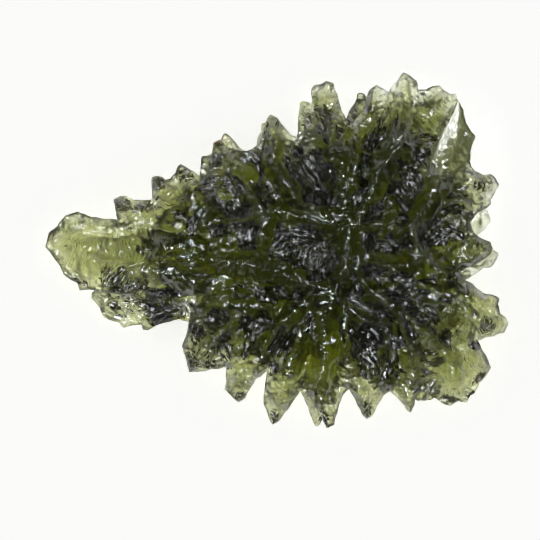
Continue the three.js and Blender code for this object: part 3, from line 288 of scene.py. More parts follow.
# The smear of reddish clay on the tip of a northwest tooth.
CLAY = [[-5.8, 10.85, 0.6, 0.3, 27, 2]]

# Ridges under the stone, from a hub out to the rim. They waver and bend, and start at a distance from it.
UNDER_HUB = [1.5, 0.5]
UNDER_RIDGE = {"count": 15, "width": 2.1, "height": 1.5, "waver": 0.25, "bend": 0.025, "start": 2.0,
               "step": 1.6}
# Three worn feet carry the stone. Each is a blunt knob that the ground plane cuts, and nothing else comes as
# low.
FEET = [[-8.5, -1.5], [12, 8.5], [10.5, -8.5]]
FOOT_FLAT_RADIUS = 0.9
FOOT_ROOT_RADIUS = 2.7
FOOT_REACH = 0.3
UNDER_CLEARANCE = 0.35

# How much each leaf thickens above and below its middle surface, and how far in from the rim it does so.
# LEVEL_BLUR is how far round a stated height the middle surface stays near it.
LEVEL_BLUR = 2.0
RIM_BEVEL = 0.08
RIM_HALF = 0.08
SWELL_LENGTH = 4.6
UPPER_RISE, UPPER_DROP = 2.3, 1.9
LOWER_RISE, LOWER_DROP = 1.9, 1.9
FIN_RISE, FIN_DROP = 1.1, 1.1
# A slow swell up and down the leaves, so that the cleft between them opens and closes along the rim.
SURGE = 0.35
SURGE_TURNS = 0.95, 0.8

# How far in from the rim each kind of relief reaches its full depth. Nibbles do the opposite, and die out.
RELIEF_FADE, SCOOP_FADE, DETAIL_FADE, LINING_FADE = 0.6, 1.5, 0.5, 0.4
NIBBLE_FADE = 0.4, 1.8

# Across a ridge, in shares of its half-width: how fast its flank falls, where the flank ends and the valley
# starts, and where the crest ends and patches may start. A ridge's low ends are narrower than its top.
FLANK_FALL = 0.8
FLANK_END, VALLEY_START = 0.52, 0.85
FLANK_BLUR = 0.2
CREST_EDGE = 0.05, 0.25
PATCH_START = 0.12, 0.3
LEAST_WIDTH = 0.4
# What a point has before any ridge or pit is found near it.
BARE_HEIGHT, FAR_ACROSS = -1e-6, 9.0

# The striations: how far they slant from a ridge's flow, and what sets those of one ridge or patch apart.
SLANT, SLANT_TURN = 0.85, 2.4
RIDGE_SHIFT, PATCH_SHIFT = 5.3, (3, 5)
PATCH_BEND = 0.1
RIB_PITCH, RIB_HEIGHT = 0.5, 0.13
# Pits of two sizes. Each keeps a margin in its square, and its second coordinate is from another layer.
PIT_DEPTH = 0.5
PIT_SIZES, PIT_SHARES = (0.9, 0.42), (0.6, 0.4)
PIT_MARGIN, PIT_REACH, PIT_SECOND = 0.15, 0.5, 7
# Patches and clear ground: their depth, spread, how soft their edges are, and from where striations show.
PATCH_DEPTH, PATCH_SPREAD, PATCH_EDGE = 0.35, 1.2, 0.7
CLEAR_EDGE = 2.4
STRIATED = 0.2

# Layers of noise: the size of the lumps, and a number that makes each layer unlike the rest.
OCTAVES = 3
RIDGE_LAYER, PATCH_LAYER, CLEAR_LAYER = (1.5, 61), (1.3, 91), (1.0, 93)
SWAY_LAYERS = (2.6, 0), (2.6, 11)
JITTER_LAYERS = (0.6, 3), (0.6, 14)
CHIP_LAYER, LINING_LAYER = (0.7, 0), (1.2, 9)
RIB_LAYER, GRAIN_LAYER, LUMP_LAYER, NIBBLE_LAYER = (1.4, 30), (0.9, 60), (1.3, 70), (0.55, 80)
PIT_NUMBERS = 40, 50
# How strongly each layer works: on widths and edges as a share, and elsewhere in millimetres.
RIDGE_RAGGED, PATCH_RAGGED, CLEAR_RAGGED, RIB_WAVER = 0.3, 0.55, 0.12, 0.25
SWAY, JITTER, CHIPS, LINING = 0.22, 0.07, 0.07, 0.12
GRAIN, LUMPS, NIBBLES = 0.03, 0.1, 0.18
# Layers that come and go: size, number, middle value, swing and least value.
VALLEY_PATCHES = 2.3, 77, 0.6, 0.8, 0.3
RIB_PATCHES = 1.6, 35, 0.6, 1.2, 0.2
PIT_PATCHES = 1.9, 45, 0.3, 1.3, 0
# A number for each etched surface, edge and grid of points, so that no two are alike.
TOP, UNDER, LOWER_TOP, FIN = 100, 300, 400, 500
UPPER_EDGE, LOWER_EDGE, FIN_EDGE = 5, 6, 7
UPPER_GRID, LOWER_GRID, FIN_GRID = 1, 3, 5
# Large odd numbers that scramble a grid point's two numbers and a seed into one.
STIR = 374761393, 668265263, 1442695041
STIR_AGAIN = 1274126177, 2246822519
ALL_BITS, KEPT_BITS = 0xFFFFFFFF, 0xFFFFFF

# Ribs fade on high crests: their share on the ground, how fast it falls with height, and its least value.
RIB_SHARE, RIB_FALL, RIB_LEAST = 0.8, 0.7, 0.12
LOWER_TOP_RELIEF = 0.6
FIN_RELIEF = 0.15

# The lower sheet rises towards the upper one in the west, and closes the gap under it away from the rim.
TUCK_WEST, TUCK_NORTH, TUCK_RISE = (10, 13.5), (-2.5, -0.5), 0.8
COVERED = 1.2, 2.5
OVERLAP = 0.4
# Its underside is plainer and thinner in the northwest.
MELT_EAST, MELT_SOUTH, MELT_LEAST = (-15, -7), (2, 4), 0.1

# Spacing of the fine mesh's points: on the rim, and inside on surfaces that show and surfaces that don't.
RIM_STEP = 0.16
RIM_TEST_STEP = 0.05
SHOWN_STEP = 0.155
HIDDEN_STEP = 0.3
UNDER_STEP = 0.75 * HIDDEN_STEP
GRID_X, GRID_Y = (-24, 24.2), (-19, 19.2)
GRID_JITTER = 0.2
GRID_RIM_GAP = 0.55
TRIANGULATE_INSIDE, TRIANGULATE_CLOSENESS = 1, 1e-7


# ------------------------------
# Noise on the plane.

def lattice(ix, iy, seed):
    """A random-looking value from 0 to 1 for each point of a grid, by scrambling its numbers."""
    h = (ix.astype(np.int64) * STIR[0] + iy.astype(np.int64) * STIR[1] + seed * STIR[2]) & ALL_BITS
    h = ((h ^ (h >> 13)) * STIR_AGAIN[0]) & ALL_BITS
    h = ((h ^ (h >> 16)) * STIR_AGAIN[1]) & ALL_BITS
    return ((h ^ (h >> 15)) & KEPT_BITS) / float(KEPT_BITS)


def noise(x, y, size, seed):
    """Smooth noise from -1 to 1 with lumps of about the given size."""
    u, v = x / size, y / size
    iu, iv = np.floor(u), np.floor(v)
    fu, fv = u - iu, v - iv
    su, sv = (f * f * f * (f * (f * 6 - 15) + 10) for f in (fu, fv))
    low = lattice(iu, iv, seed) * (1 - su) + lattice(iu + 1, iv, seed) * su
    high = lattice(iu, iv + 1, seed) * (1 - su) + lattice(iu + 1, iv + 1, seed) * su
    return 2 * (low * (1 - sv) + high * sv) - 1


def rough(x, y, layer, seed=0):
    """Noise with finer and finer noise on it."""
    size, number = layer
    total, weight = 0, 1
    for octave in range(OCTAVES):
        total = total + weight * noise(x, y, size / 2 ** octave, seed + number + octave)
        weight *= 0.5
    return total


def patchy(x, y, layer, seed=0):
    """A share up to 1 that comes and goes over the plane."""
    size, number, middle, swing, least = layer
    return np.clip(middle + swing * noise(x, y, size, seed + number), least, 1)


def pits(x, y, size, seed):
    """Round hollows side by side: 1 in the middle of each, 0 where they meet."""
    u, v = x / size, y / size
    iu, iv = np.floor(u), np.floor(v)
    near = np.full(np.shape(x), FAR_ACROSS)
    room = 1 - 2 * PIT_MARGIN
    for di in (-1, 0, 1):
        for dj in (-1, 0, 1):
            cu = iu + di + PIT_MARGIN + room * lattice(iu + di, iv + dj, seed)
            cv = iv + dj + PIT_MARGIN + room * lattice(iu + di, iv + dj, seed + PIT_SECOND)
            near = np.minimum(near, (u - cu) ** 2 + (v - cv) ** 2)
    return np.clip(1 - near / PIT_REACH, 0, 1)


# ------------------------------
# Shape in plan.

def loop(rim):
    return np.array([point for tooth in rim for point in tooth])


def resampled(points, step):
    """Points at even steps round a closed line, its corners kept."""
    out = []
    for a, b in zip(points, np.roll(points, -1, axis=0)):
        parts = max(1, round(np.hypot(*(b - a)) / step))
        out.append(a + (b - a) * (np.arange(parts) / parts)[:, None])
    return np.vstack(out)


def inside(x, y, rim):
    result = np.zeros(x.shape, bool)
    for (ax, ay), (bx, by) in zip(rim, np.roll(rim, -1, axis=0)):
        if ay != by:
            crosses = ((ay > y) != (by > y)) & (x < ax + (y - ay) / (by - ay) * (bx - ax))
            result ^= crosses
    return result


def rim_distances(x, y, rim):
    dense = resampled(rim, RIM_TEST_STEP)
    tree = kdtree.KDTree(len(dense))
    for i, (px, py) in enumerate(dense):
        tree.insert((px, py, 0), i)
    tree.balance()
    return np.array([tree.find((px, py, 0))[2] for px, py in zip(x, y)])


def level_at(x, y, levels):
    """The height of a middle surface, which passes close by each stated height."""
    total, weights = 0, 0
    for px, py, z in levels:
        weight = 1 / ((x - px) ** 2 + (y - py) ** 2 + LEVEL_BLUR ** 2) ** 2
        total, weights = total + weight * z, weights + weight
    return total / weights


def smooth(low, high, values):
    share = np.clip((values - low) / (high - low), 0, 1)
    return share * share * (3 - 2 * share)


def ridge_profile(share):
    """Height across a ridge, from 1 on its crest: flat flanks, then a steep fall to the valley beside it."""
    return (1 - FLANK_FALL * share) * (1 - smooth(FLANK_END, VALLEY_START, share))


def ridge_field(x, y, ridges):
    """The height of the ridge that stands highest at each point, how far across its flank the point is, and
    the place across and along the striations, which slant away from the crest like barbs on a feather."""
    height = np.full(x.shape, BARE_HEIGHT)
    flank = np.full(x.shape, FAR_ACROSS)
    strand, along = np.zeros(x.shape), np.zeros(x.shape)
    nearest = np.full(x.shape, np.inf)
    spread = 1 + RIDGE_RAGGED * rough(x, y, RIDGE_LAYER)
    for number, (width, path) in enumerate(ridges):
        slant = SLANT * math.sin(SLANT_TURN * number + 1)
        run = RIDGE_SHIFT * number
        highest = max(point[2] for point in path)
        for (ax, ay, ha), (bx, by, hb) in zip(path, path[1:]):
            dx, dy = bx - ax, by - ay
            share = np.clip(((x - ax) * dx + (y - ay) * dy) / (dx * dx + dy * dy), 0, 1)
            distance = np.hypot(x - ax - share * dx, y - ay - share * dy)
            crest = ha + share * (hb - ha)
            across = distance * spread / (width * (LEAST_WIDTH + (1 - LEAST_WIDTH) * crest / highest))
            here = crest * ridge_profile(across)
            taller = here > height
            height = np.where(taller, here, height)
            flank = np.where(taller, across, flank)
            closer = across < nearest
            nearest = np.where(closer, across, nearest)
            length = math.hypot(dx, dy)
            passed = run + share * length
            strand = np.where(closer, passed * math.cos(slant) - distance * math.sin(slant), strand)
            along = np.where(closer, distance * math.cos(slant) + passed * math.sin(slant), along)
            run += length
    return height, flank, strand, along


def turned(x, y, cx, cy, degrees):
    """The place along and across a direction, from a centre."""
    c, s = math.cos(math.radians(degrees)), math.sin(math.radians(degrees))
    return (x - cx) * c + (y - cy) * s, (y - cy) * c - (x - cx) * s


def scoop_depth(x, y, scoops):
    deepest = np.zeros(x.shape)
    for cx, cy, rx, ry, turn, depth in scoops:
        u, v = turned(x, y, cx, cy, turn)
        deepest = np.maximum(deepest, depth * (1 - (u / rx) ** 2 - (v / ry) ** 2))
    return deepest


def share_in(x, y, places):
    """How much each point is in any of the places, from 0 to 1."""
    return np.clip(scoop_depth(x, y, places), 0, 1)


def patch_field(x, y):
    """How much each point is in a striated patch, and its place across and along the patch's striations."""
    strength, strand, along = np.zeros(x.shape), np.zeros(x.shape), np.zeros(x.shape)
    ragged = 1 + PATCH_RAGGED * rough(x, y, PATCH_LAYER)
    for cx, cy, length, width, turn, share in PATCHES:
        u, v = turned(x, y, cx, cy, turn)
        out = ragged - (u / (PATCH_SPREAD * length)) ** 2 - (v / (PATCH_SPREAD * width)) ** 2
        here = share * smooth(0, PATCH_EDGE, out)
        strand = np.where(here > strength, v + PATCH_BEND * u * u / length + PATCH_SHIFT[0] * cx, strand)
        along = np.where(here > strength, u + PATCH_SHIFT[1] * cy, along)
        strength = np.maximum(strength, here)
    return strength, strand, along


# The ridge's height, the share across its flank, how smooth the flank is, how clear the ground is, how rough
# the valley and the patch are, and the place across and along the striations.
Ground = namedtuple("Ground", "height across flank clear valley patch strand along")


def ground_at(x, y, ridges, on_top):
    height, across, strand, along = ridge_field(x, y, ridges)
    flank = 1 - smooth(FLANK_END, FLANK_END + FLANK_BLUR, across)
    smooth_ground = scoop_depth(x, y, SMOOTHS) + CLEAR_RAGGED * rough(x, y, CLEAR_LAYER)
    clear = np.clip(CLEAR_EDGE * smooth_ground, 0, 1)
    valley = patchy(x, y, VALLEY_PATCHES) * (1 - flank) * (1 - clear)
    if not on_top:
        return Ground(height, across, flank, clear, valley, np.zeros(x.shape), strand, along)
    patch, patch_strand, patch_along = patch_field(x, y)
    patch = patch * smooth(*PATCH_START, across)
    striated = patch > STRIATED
    patch = patch * (1 - clear)
    return Ground(height, across, np.maximum(flank * (1 - patch), clear), clear, valley, patch,
                  np.where(striated, patch_strand, strand), np.where(striated, patch_along, along))


def warped(x, y, seed):
    """The point with a small wander added, so that crests and edges waver."""
    return tuple(place + SWAY * rough(x, y, slow, seed) + JITTER * rough(x, y, fast, seed)
                 for place, slow, fast in zip((x, y), SWAY_LAYERS, JITTER_LAYERS))


def under_ridges(rim):
    shape = SimpleNamespace(**UNDER_RIDGE)
    ridges = []
    for i in range(shape.count):
        heading = 2 * math.pi * i / shape.count + shape.waver * math.sin(5 * i)
        path, r = [], shape.start
        while True:
            x = UNDER_HUB[0] + r * math.cos(heading + shape.bend * r)
            y = UNDER_HUB[1] + r * math.sin(heading + shape.bend * r)
            point = np.array([x]), np.array([y])
            if not inside(*point, rim)[0]:
                break
            unevenness = 0.75 + 0.25 * math.sin(3 * i + r)
            rim_fade = min(1, rim_distances(*point, rim)[0] / shape.width)
            path.append([x, y, shape.height * unevenness * rim_fade])
            r += shape.step
        ridges.append([shape.width, path])
    return ridges


# ------------------------------
# Leaves.

def faded(distance, fade):
    return np.clip(distance / fade, 0, 1)


def swell(distance):
    return 1 - np.exp(-distance / SWELL_LENGTH)


def rounded(distance):
    return RIM_HALF * np.sqrt(faded(distance, RIM_BEVEL))


def surge(x, y):
    return SURGE * np.sin(SURGE_TURNS[0] * x) * np.cos(SURGE_TURNS[1] * y)


def chipped(rim, seed):
    """The outline at fine steps, with small chips and waves along it."""
    fine = resampled(rim, RIM_STEP)
    x, y = fine.T
    along = np.roll(fine, -1, axis=0) - np.roll(fine, 1, axis=0)
    normal = np.stack([along[:, 1], -along[:, 0]], axis=1) / np.hypot(*along.T)[:, None]
    return fine + normal * (CHIPS * rough(x, y, CHIP_LAYER, seed))[:, None]


def sheet(rim, step, seed):
    """Fine triangles that fill an outline: their points and corners, each point's distance from the rim,
    whether it is on the rim, and its number among the rim's points and then the points inside."""
    rows = np.arange(*GRID_Y, step * math.sqrt(0.75))
    columns = np.arange(*GRID_X, step)
    gx, gy = np.meshgrid(columns, rows)
    gx = gx + 0.5 * step * (np.arange(len(rows)) % 2)[:, None]
    rng = np.random.default_rng(seed)
    x = (gx + rng.uniform(-GRID_JITTER, GRID_JITTER, gx.shape) * step).ravel()
    y = (gy + rng.uniform(-GRID_JITTER, GRID_JITTER, gy.shape) * step).ravel()
    kept = inside(x, y, rim)
    x, y = x[kept], y[kept]
    distance = rim_distances(x, y, rim)
    kept = distance > GRID_RIM_GAP * step
    x, y, distance = x[kept], y[kept], distance[kept]
    count = len(rim)
    points = [Vector(p) for p in np.vstack([rim, np.stack([x, y], 1)]).tolist()]
    edges = [(i, (i + 1) % count) for i in range(count)]
    found, _, faces, origins, _, _ = delaunay_2d_cdt(points, edges, [], TRIANGULATE_INSIDE,
                                                     TRIANGULATE_CLOSENESS)
    found = np.array([p[:] for p in found])
    order = np.array([o[0] if o else -1 for o in origins])
    is_rim = (order >= 0) & (order < count)
    away = np.zeros(len(found))
    inner = order >= count
    away[inner] = distance[order[inner] - count]
    return found, np.array(faces), away, is_rim, order


def added(name, data):
    """A new object in the scene."""
    obj = bpy.data.objects.new(name, data)
    bpy.context.scene.collection.objects.link(obj)
    return obj


def leaf(name, rim, top, bottom, top_step, bottom_step, seed):
    """One closed leaf. top and bottom give heights from x, y and the distance from the rim."""
    offset = len(rim)
    chunks = [np.column_stack([rim, top(rim[:, 0], rim[:, 1], np.zeros(offset))])]
    faces = []
    for surface, step, upward in ((top, top_step, True), (bottom, bottom_step, False)):
        flat, triangles, away, is_rim, order = sheet(rim, step, seed + upward)
        numbers = np.zeros(len(flat), int)
        numbers[is_rim] = order[is_rim]
        others = ~is_rim
        numbers[others] = offset + np.arange(others.sum())
        x, y = flat[others].T
        chunks.append(np.column_stack([x, y, surface(x, y, away[others])]))
        offset += others.sum()
        a, b, c = flat[triangles].transpose(1, 0, 2)
        turn = (b[:, 0] - a[:, 0]) * (c[:, 1] - a[:, 1]) - (b[:, 1] - a[:, 1]) * (c[:, 0] - a[:, 0])
        flip = (turn > 0) != upward
        triangles = np.where(flip[:, None], triangles[:, ::-1], triangles)
        faces.append(numbers[triangles])
    mesh = bpy.data.meshes.new(name)
    mesh.from_pydata(np.vstack(chunks).tolist(), [], np.vstack(faces).tolist())
    return added(name, mesh)


def etched(x, y, distance, ridges, scoops, seed, on_top=False):
    """Relief of an etched surface: ridges and scoops, ribs along the ridges and pits in the hollows."""
    wx, wy = warped(x, y, seed)
    ground = ground_at(wx, wy, ridges, on_top)
    crumple = np.maximum(ground.valley, ground.patch)
    ribs = np.sin(2 * math.pi * (ground.strand / RIB_PITCH + RIB_WAVER * rough(x, y, RIB_LAYER, seed)))
    ribbed = np.maximum(1 - ground.flank, np.clip(RIB_SHARE - RIB_FALL * ground.height, RIB_LEAST, 1))
    fine = sum(share * pits(x, y, size, seed + number)
               for share, size, number in zip(PIT_SHARES, PIT_SIZES, PIT_NUMBERS))
    detail = (RIB_HEIGHT * ribs * patchy(x, y, RIB_PATCHES, seed) * ribbed
              - PIT_DEPTH * fine * crumple * patchy(x, y, PIT_PATCHES, seed)
              + GRAIN * rough(x, y, GRAIN_LAYER, seed)
              + LUMPS * (1 - ground.flank) * rough(x, y, LUMP_LAYER, seed))
    nibbled = NIBBLES * rough(x, y, NIBBLE_LAYER, seed) * (1 - smooth(*NIBBLE_FADE, distance))
    scooped = faded(distance, SCOOP_FADE) * (scoop_depth(wx, wy, scoops) + PATCH_DEPTH * crumple)
    return (faded(distance, RELIEF_FADE) * (ground.height - scooped)
            + faded(distance, DETAIL_FADE) * (detail + nibbled))


def upper_leaf():
    ridges = list(RIDGES.values())

    def middle_at(x, y):
        return level_at(x, y, UPPER_LEVELS) + surge(x, y)

    def top(x, y, d):
        relief = etched(x, y, d, ridges, SCOOPS, TOP, True)
        return middle_at(x, y) + rounded(d) + UPPER_RISE * swell(d) + relief

    def bottom(x, y, d):
        lining = LINING * faded(d, LINING_FADE) * rough(x, y, LINING_LAYER)
        return middle_at(x, y) - rounded(d) - UPPER_DROP * swell(d) + lining

    rim = chipped(loop(UPPER_RIM), UPPER_EDGE)
    return leaf("upper", rim, top, bottom, SHOWN_STEP, HIDDEN_STEP, UPPER_GRID)


def foot_share(x, y):
    """1 on a foot's flat, and 0 beyond its root."""
    distance = np.min([np.hypot(x - fx, y - fy) for fx, fy in FEET], axis=0)
    return np.clip((FOOT_ROOT_RADIUS - distance) / (FOOT_ROOT_RADIUS - FOOT_FLAT_RADIUS), 0, 1)


def lower_leaf():
    ridges = under_ridges(loop(LOWER_RIM))

    def middle_at(x, y):
        tucked = smooth(*TUCK_WEST, -x) * smooth(*TUCK_NORTH, y)
        return level_at(x, y, LOWER_LEVELS) - surge(x, y) + TUCK_RISE * tucked

    def top(x, y, d):
        """No gap is left between the sheets where the upper one covers this one."""
        relief = LOWER_TOP_RELIEF * etched(x, y, d, ridges, [], LOWER_TOP)
        plain = middle_at(x, y) + rounded(d) + LOWER_RISE * swell(d) + relief
        cover = rim_distances(x, y, loop(UPPER_RIM)) * inside(x, y, loop(UPPER_RIM))
        ceiling = level_at(x, y, UPPER_LEVELS) + surge(x, y) - UPPER_DROP * swell(cover) + OVERLAP
        return plain + smooth(*COVERED, cover) * faded(d, DETAIL_FADE) * np.maximum(0, ceiling - plain)

    def bottom(x, y, d):
        melted = np.clip(smooth(*MELT_EAST, x) + smooth(*MELT_SOUTH, -y), MELT_LEAST, 1)
        plain = middle_at(x, y) - rounded(d) - LOWER_DROP * swell(d) * melted
        relief = melted * etched(x, y, d, ridges, UNDER_SCOOPS, UNDER)
        foot = foot_share(x, y)
        return np.maximum(0, np.maximum(UNDER_CLEARANCE, plain - relief) * (1 - foot) - FOOT_REACH * foot)

    rim = chipped(loop(LOWER_RIM), LOWER_EDGE)
    return leaf("lower", rim, top, bottom, HIDDEN_STEP, UNDER_STEP, LOWER_GRID)


def fin():
    ridges = list(RIDGES.values())

    def top(x, y, d):
        relief = FIN_RELIEF * etched(x, y, d, ridges, [], FIN)
        return level_at(x, y, FIN_LEVELS) + rounded(d) + FIN_RISE * swell(d) + relief

    def bottom(x, y, d):
        return level_at(x, y, FIN_LEVELS) - rounded(d) - FIN_DROP * swell(d)

    return leaf("fin", chipped(loop(FIN_RIM), FIN_EDGE), top, bottom, SHOWN_STEP, HIDDEN_STEP, FIN_GRID)


def joined(first, *others):
    for other in others:
        modifier = first.modifiers.new("join", "BOOLEAN")
        modifier.operation = "UNION"
        modifier.solver = "MANIFOLD"
        modifier.object = other
    mesh = bpy.data.meshes.new_from_object(first.evaluated_get(bpy.context.evaluated_depsgraph_get()))
    for obj in (first, *others):
        old = obj.data
        bpy.data.objects.remove(obj)
        bpy.data.meshes.remove(old)
    return mesh


# ------------------------------
# Glass.

RIM_TINT = (0.75, 0.765, 0.53, 1)
PALE_TINT = (0.92, 0.93, 0.84, 1)
FLANK_TINT = (0.6, 0.64, 0.08, 1)
CLEAR_TINT = (0.66, 0.7, 0.03, 1)
# Painted shade: the near-black base colour of dark hollows, specks and streaks.
HOLLOW_PAINTED_SHADE = (0.006, 0.006, 0.002, 1)
CLAY_TINT = (1, 0.66, 0.46, 1)
ABSORPTION_COLOR = (0.41, 0.44, 0.02, 1)
ABSORPTION_DENSITY = 630

# Facets: their size in mm across and along the striations, and how much their edges wander.
SMALL_FACET, LARGE_FACET, STREAK = (0.13, 0.45), (0.36, 0.55), (0.15, 2.4)
WANDER = 0.5
# How far large facets lean: anywhere, how much less on clear ground, and how much more on a crest.
LARGE_LEAN, CLEAR_CALM, CREST_LEAN = 0.45, 0.35, 0.5
# How far small facets lean: anywhere, and how much more on crests, level ground and crumpled ground.
SMALL_LEAN, SMALL_CREST_LEAN, SMALL_LEVEL_LEAN, SMALL_CRUMPLE_LEAN = 0.08, 0.6, 0.4, 0.5
# The smooth thin sheets on the east side lean away from the lamps, and have next to no facets.
CALM_LEAN = (0.26, -0.1, 0)
CALM_SHARE = 0.75

# Where a share starts and how steeply it rises: level ground by its normal's height, and the painted shade
# of dark ground, specks and streaks.
LEVEL_RISE, PAINTED_SHADE_RISE, SPECK_RISE, STREAK_RISE = (0.965, 60), (0.2, 3.5), (0.6, 4), (0.5, 1.5)
# Specks cluster in blotches and on crumpled ground. How much specks and streaks darken the rim with painted
# shade, and how much of them is left where the stone is thick.
SPECK_BLOTCHES, SPECK_CRUMPLE = 2, 0.3
SPECK_SHARE, STREAK_SHARE, DEEP_SPECKS = 0.35, 0.5, 0.25

# Noise over the glass, in lumps per metre and octaves, and the depth in metres of the finest relief.
WANDER_NOISE, BLOTCH_NOISE, GRAIN_NOISE = (1500, 2), (1100, 3), (4500, 1)
BUMP_DEPTH = 0.00002
# A facet's dome is as high as its own chance and the ground's crumple make it, and at least these shares.
# The grain is this high anywhere, and this much higher on crumpled ground.
LEAST_DOME = 0.3, 0.15
EVEN_GRAIN, CRUMPLED_GRAIN = 0.3, 0.4


class Graph:
    """Short ways to add nodes to a new material."""

    def __init__(self, name):
        self.material = bpy.data.materials.new(name)
        self.material.use_nodes = True
        self.nodes = self.material.node_tree.nodes
        self.nodes.clear()
        self.coordinates = self.add("ShaderNodeTexCoord").outputs

    def add(self, kind, inputs=(), **settings):
        node = self.nodes.new(kind)
        for name, value in settings.items():
            setattr(node, name, value)
        for key, value in dict(inputs).items():
            if isinstance(value, bpy.types.NodeSocket):
                self.material.node_tree.links.new(value, node.inputs[key])
            else:
                node.inputs[key].default_value = value
        return node

    def math(self, operation, *values, clamp=False):
        return self.add("ShaderNodeMath", enumerate(values), operation=operation, use_clamp=clamp).outputs[0]

    def plus(self, a, b):
        return self.math("ADD", a, b)

    def minus(self, a, b):
        return self.math("SUBTRACT", a, b)

    def times(self, a, b):
        return self.math("MULTIPLY", a, b)

    def past(self, value, start, steepness):
        """How far a value is past a start, up to 1."""
        return self.math("MULTIPLY", self.minus(value, start), steepness, clamp=True)

    def noise(self, scale, detail):
        inputs = {"Scale": scale, "Detail": detail, "Vector": self.coordinates["Object"]}
        return self.add("ShaderNodeTexNoise", inputs).outputs["Fac"]

    def vector(self, operation, *vectors):
        return self.add("ShaderNodeVectorMath", enumerate(vectors), operation=operation).outputs[0]

    def scaled(self, vector, scale):
        return self.add("ShaderNodeVectorMath", {0: vector, "Scale": scale}, operation="SCALE").outputs[0]

    def mixed(self, share, low, high):
        inputs = {"Factor": share, "A": low, "B": high}
        return self.add("ShaderNodeMix", inputs, data_type="RGBA").outputs["Result"]

    def channel(self, color, name):
        return self.add("ShaderNodeSeparateColor", {"Color": color}).outputs[name]


def facets(graph, ground, width, length):
    """Small flat faces, long along the striations: a random colour for each."""
    wander = graph.times(graph.minus(graph.noise(*WANDER_NOISE), 0.5), WANDER)
    across = graph.math("DIVIDE", graph.plus(ground.strand, wander), width)
    along = graph.math("DIVIDE", graph.plus(ground.along, wander), length)
    place = graph.add("ShaderNodeCombineXYZ", {"X": across, "Y": along}).outputs["Vector"]
    return graph.add("ShaderNodeTexVoronoi", {"Scale": 1, "Vector": place}, voronoi_dimensions="2D").outputs


def faceted_normal(graph, ground, small, large):
    """The normal, with each facet leaning its own way."""
    def leaning(cells, amount):
        return graph.scaled(graph.vector("SUBTRACT", cells["Color"], (0.5, 0.5, 0.5)), amount)

    normal = graph.coordinates["Normal"]
    settled = graph.minus(LARGE_LEAN, graph.times(ground.clear, CLEAR_CALM))
    large_lean = leaning(large, graph.plus(settled, graph.times(ground.crest, CREST_LEAN)))
    upright = graph.add("ShaderNodeSeparateXYZ", {"Vector": normal}).outputs["Z"]
    level = graph.past(upright, *LEVEL_RISE)
    flat_lean = graph.plus(graph.times(ground.crest, SMALL_CREST_LEAN), graph.times(level, SMALL_LEVEL_LEAN))
    crumpled_lean = graph.plus(SMALL_LEAN, graph.times(ground.crumple, SMALL_CRUMPLE_LEAN))
    small_lean = leaning(small, graph.plus(flat_lean, crumpled_lean))
    unsettled = graph.minus(1, graph.times(ground.calm, CALM_SHARE))
    lean = graph.scaled(graph.vector("ADD", large_lean, small_lean), unsettled)
    facing = graph.vector("ADD", lean, graph.scaled(CALM_LEAN, ground.calm))
    return graph.vector("NORMALIZE", graph.vector("ADD", normal, facing))


def tint(graph, ground, small):
    """Pale at the rim, olive where the stone is thick, and dark with painted shade where light doesn't come
    straight
    through: on deep rough ground, and in the specks and streaks of the rim."""
    chance = graph.channel(small["Color"], "Blue")
    shaded_rough_ground = graph.past(graph.times(ground.gloom, graph.plus(chance, 0.5)), *PAINTED_SHADE_RISE)
    blotches = graph.times(graph.minus(graph.noise(*BLOTCH_NOISE), 0.5), SPECK_BLOTCHES)
    clusters = graph.plus(blotches, graph.times(ground.crumple, SPECK_CRUMPLE))
    speckled = graph.past(graph.plus(chance, clusters), *SPECK_RISE)
    streaked = graph.past(graph.channel(facets(graph, ground, *STREAK)["Color"], "Red"), *STREAK_RISE)
    specks = graph.plus(graph.times(speckled, SPECK_SHARE), graph.times(streaked, STREAK_SHARE))
    shown = graph.minus(graph.plus(DEEP_SPECKS, graph.minus(1, ground.depth)), ground.pale)
    # How much painted shade the base colour gets: dark rough ground, and specks and streaks where the stone
    # is thin.
    painted_shade_share = graph.math("ADD", shaded_rough_ground, graph.math("MULTIPLY", specks, shown, clamp=True), clamp=True)
    body = graph.mixed(ground.depth, graph.mixed(ground.pale, RIM_TINT, PALE_TINT),
                       graph.mixed(ground.clear, FLANK_TINT, CLEAR_TINT))
    return graph.mixed(ground.clay, graph.mixed(painted_shade_share, body, HOLLOW_PAINTED_SHADE), CLAY_TINT)


def bumped(graph, ground, small, normal):
    """The normal with the finest relief added: domed facets and a grain."""
    doming = graph.times(graph.plus(LEAST_DOME[0], graph.channel(small["Color"], "Red")),
                         graph.plus(LEAST_DOME[1], ground.crumple))
    grain = graph.times(graph.noise(*GRAIN_NOISE),
                        graph.plus(EVEN_GRAIN, graph.times(ground.crumple, CRUMPLED_GRAIN)))
    height = graph.plus(graph.times(small["Distance"], doming), grain)
    inputs = {"Strength": 1, "Distance": BUMP_DEPTH, "Height": height, "Normal": normal}
    return graph.add("ShaderNodeBump", inputs).outputs["Normal"]


def glass(names):
    """Clear glass under a glossy coat. It reads the named attributes of the mesh."""
    graph = Graph("moldavite glass")
    ground = SimpleNamespace(**{name: graph.add("ShaderNodeAttribute", attribute_name=name).outputs["Fac"]
                                for name in names})
    small, large = facets(graph, ground, *SMALL_FACET), facets(graph, ground, *LARGE_FACET)
    normal = bumped(graph, ground, small, faceted_normal(graph, ground, small, large))
    shader = graph.add("ShaderNodeBsdfPrincipled", {
        "Transmission Weight": 1, "IOR": 1.49, "Roughness": 0.3, "Specular Tint": (0.05, 0.05, 0.05, 1),
        "Coat Weight": 1, "Coat Roughness": 0.1, "Base Color": tint(graph, ground, small),
        "Normal": normal, "Coat Normal": normal})
    absorption = graph.add("ShaderNodeVolumeAbsorption",
                           {"Color": ABSORPTION_COLOR, "Density": ABSORPTION_DENSITY})
    graph.add("ShaderNodeOutputMaterial", {"Surface": shader.outputs[0], "Volume": absorption.outputs[0]})
    return graph.material


# ------------------------------
# The stone.

SHARP_ANGLE = 65
# How far in from the rim the stone starts to count as thick, and does so in full.
THICK = 0.3, 3.0
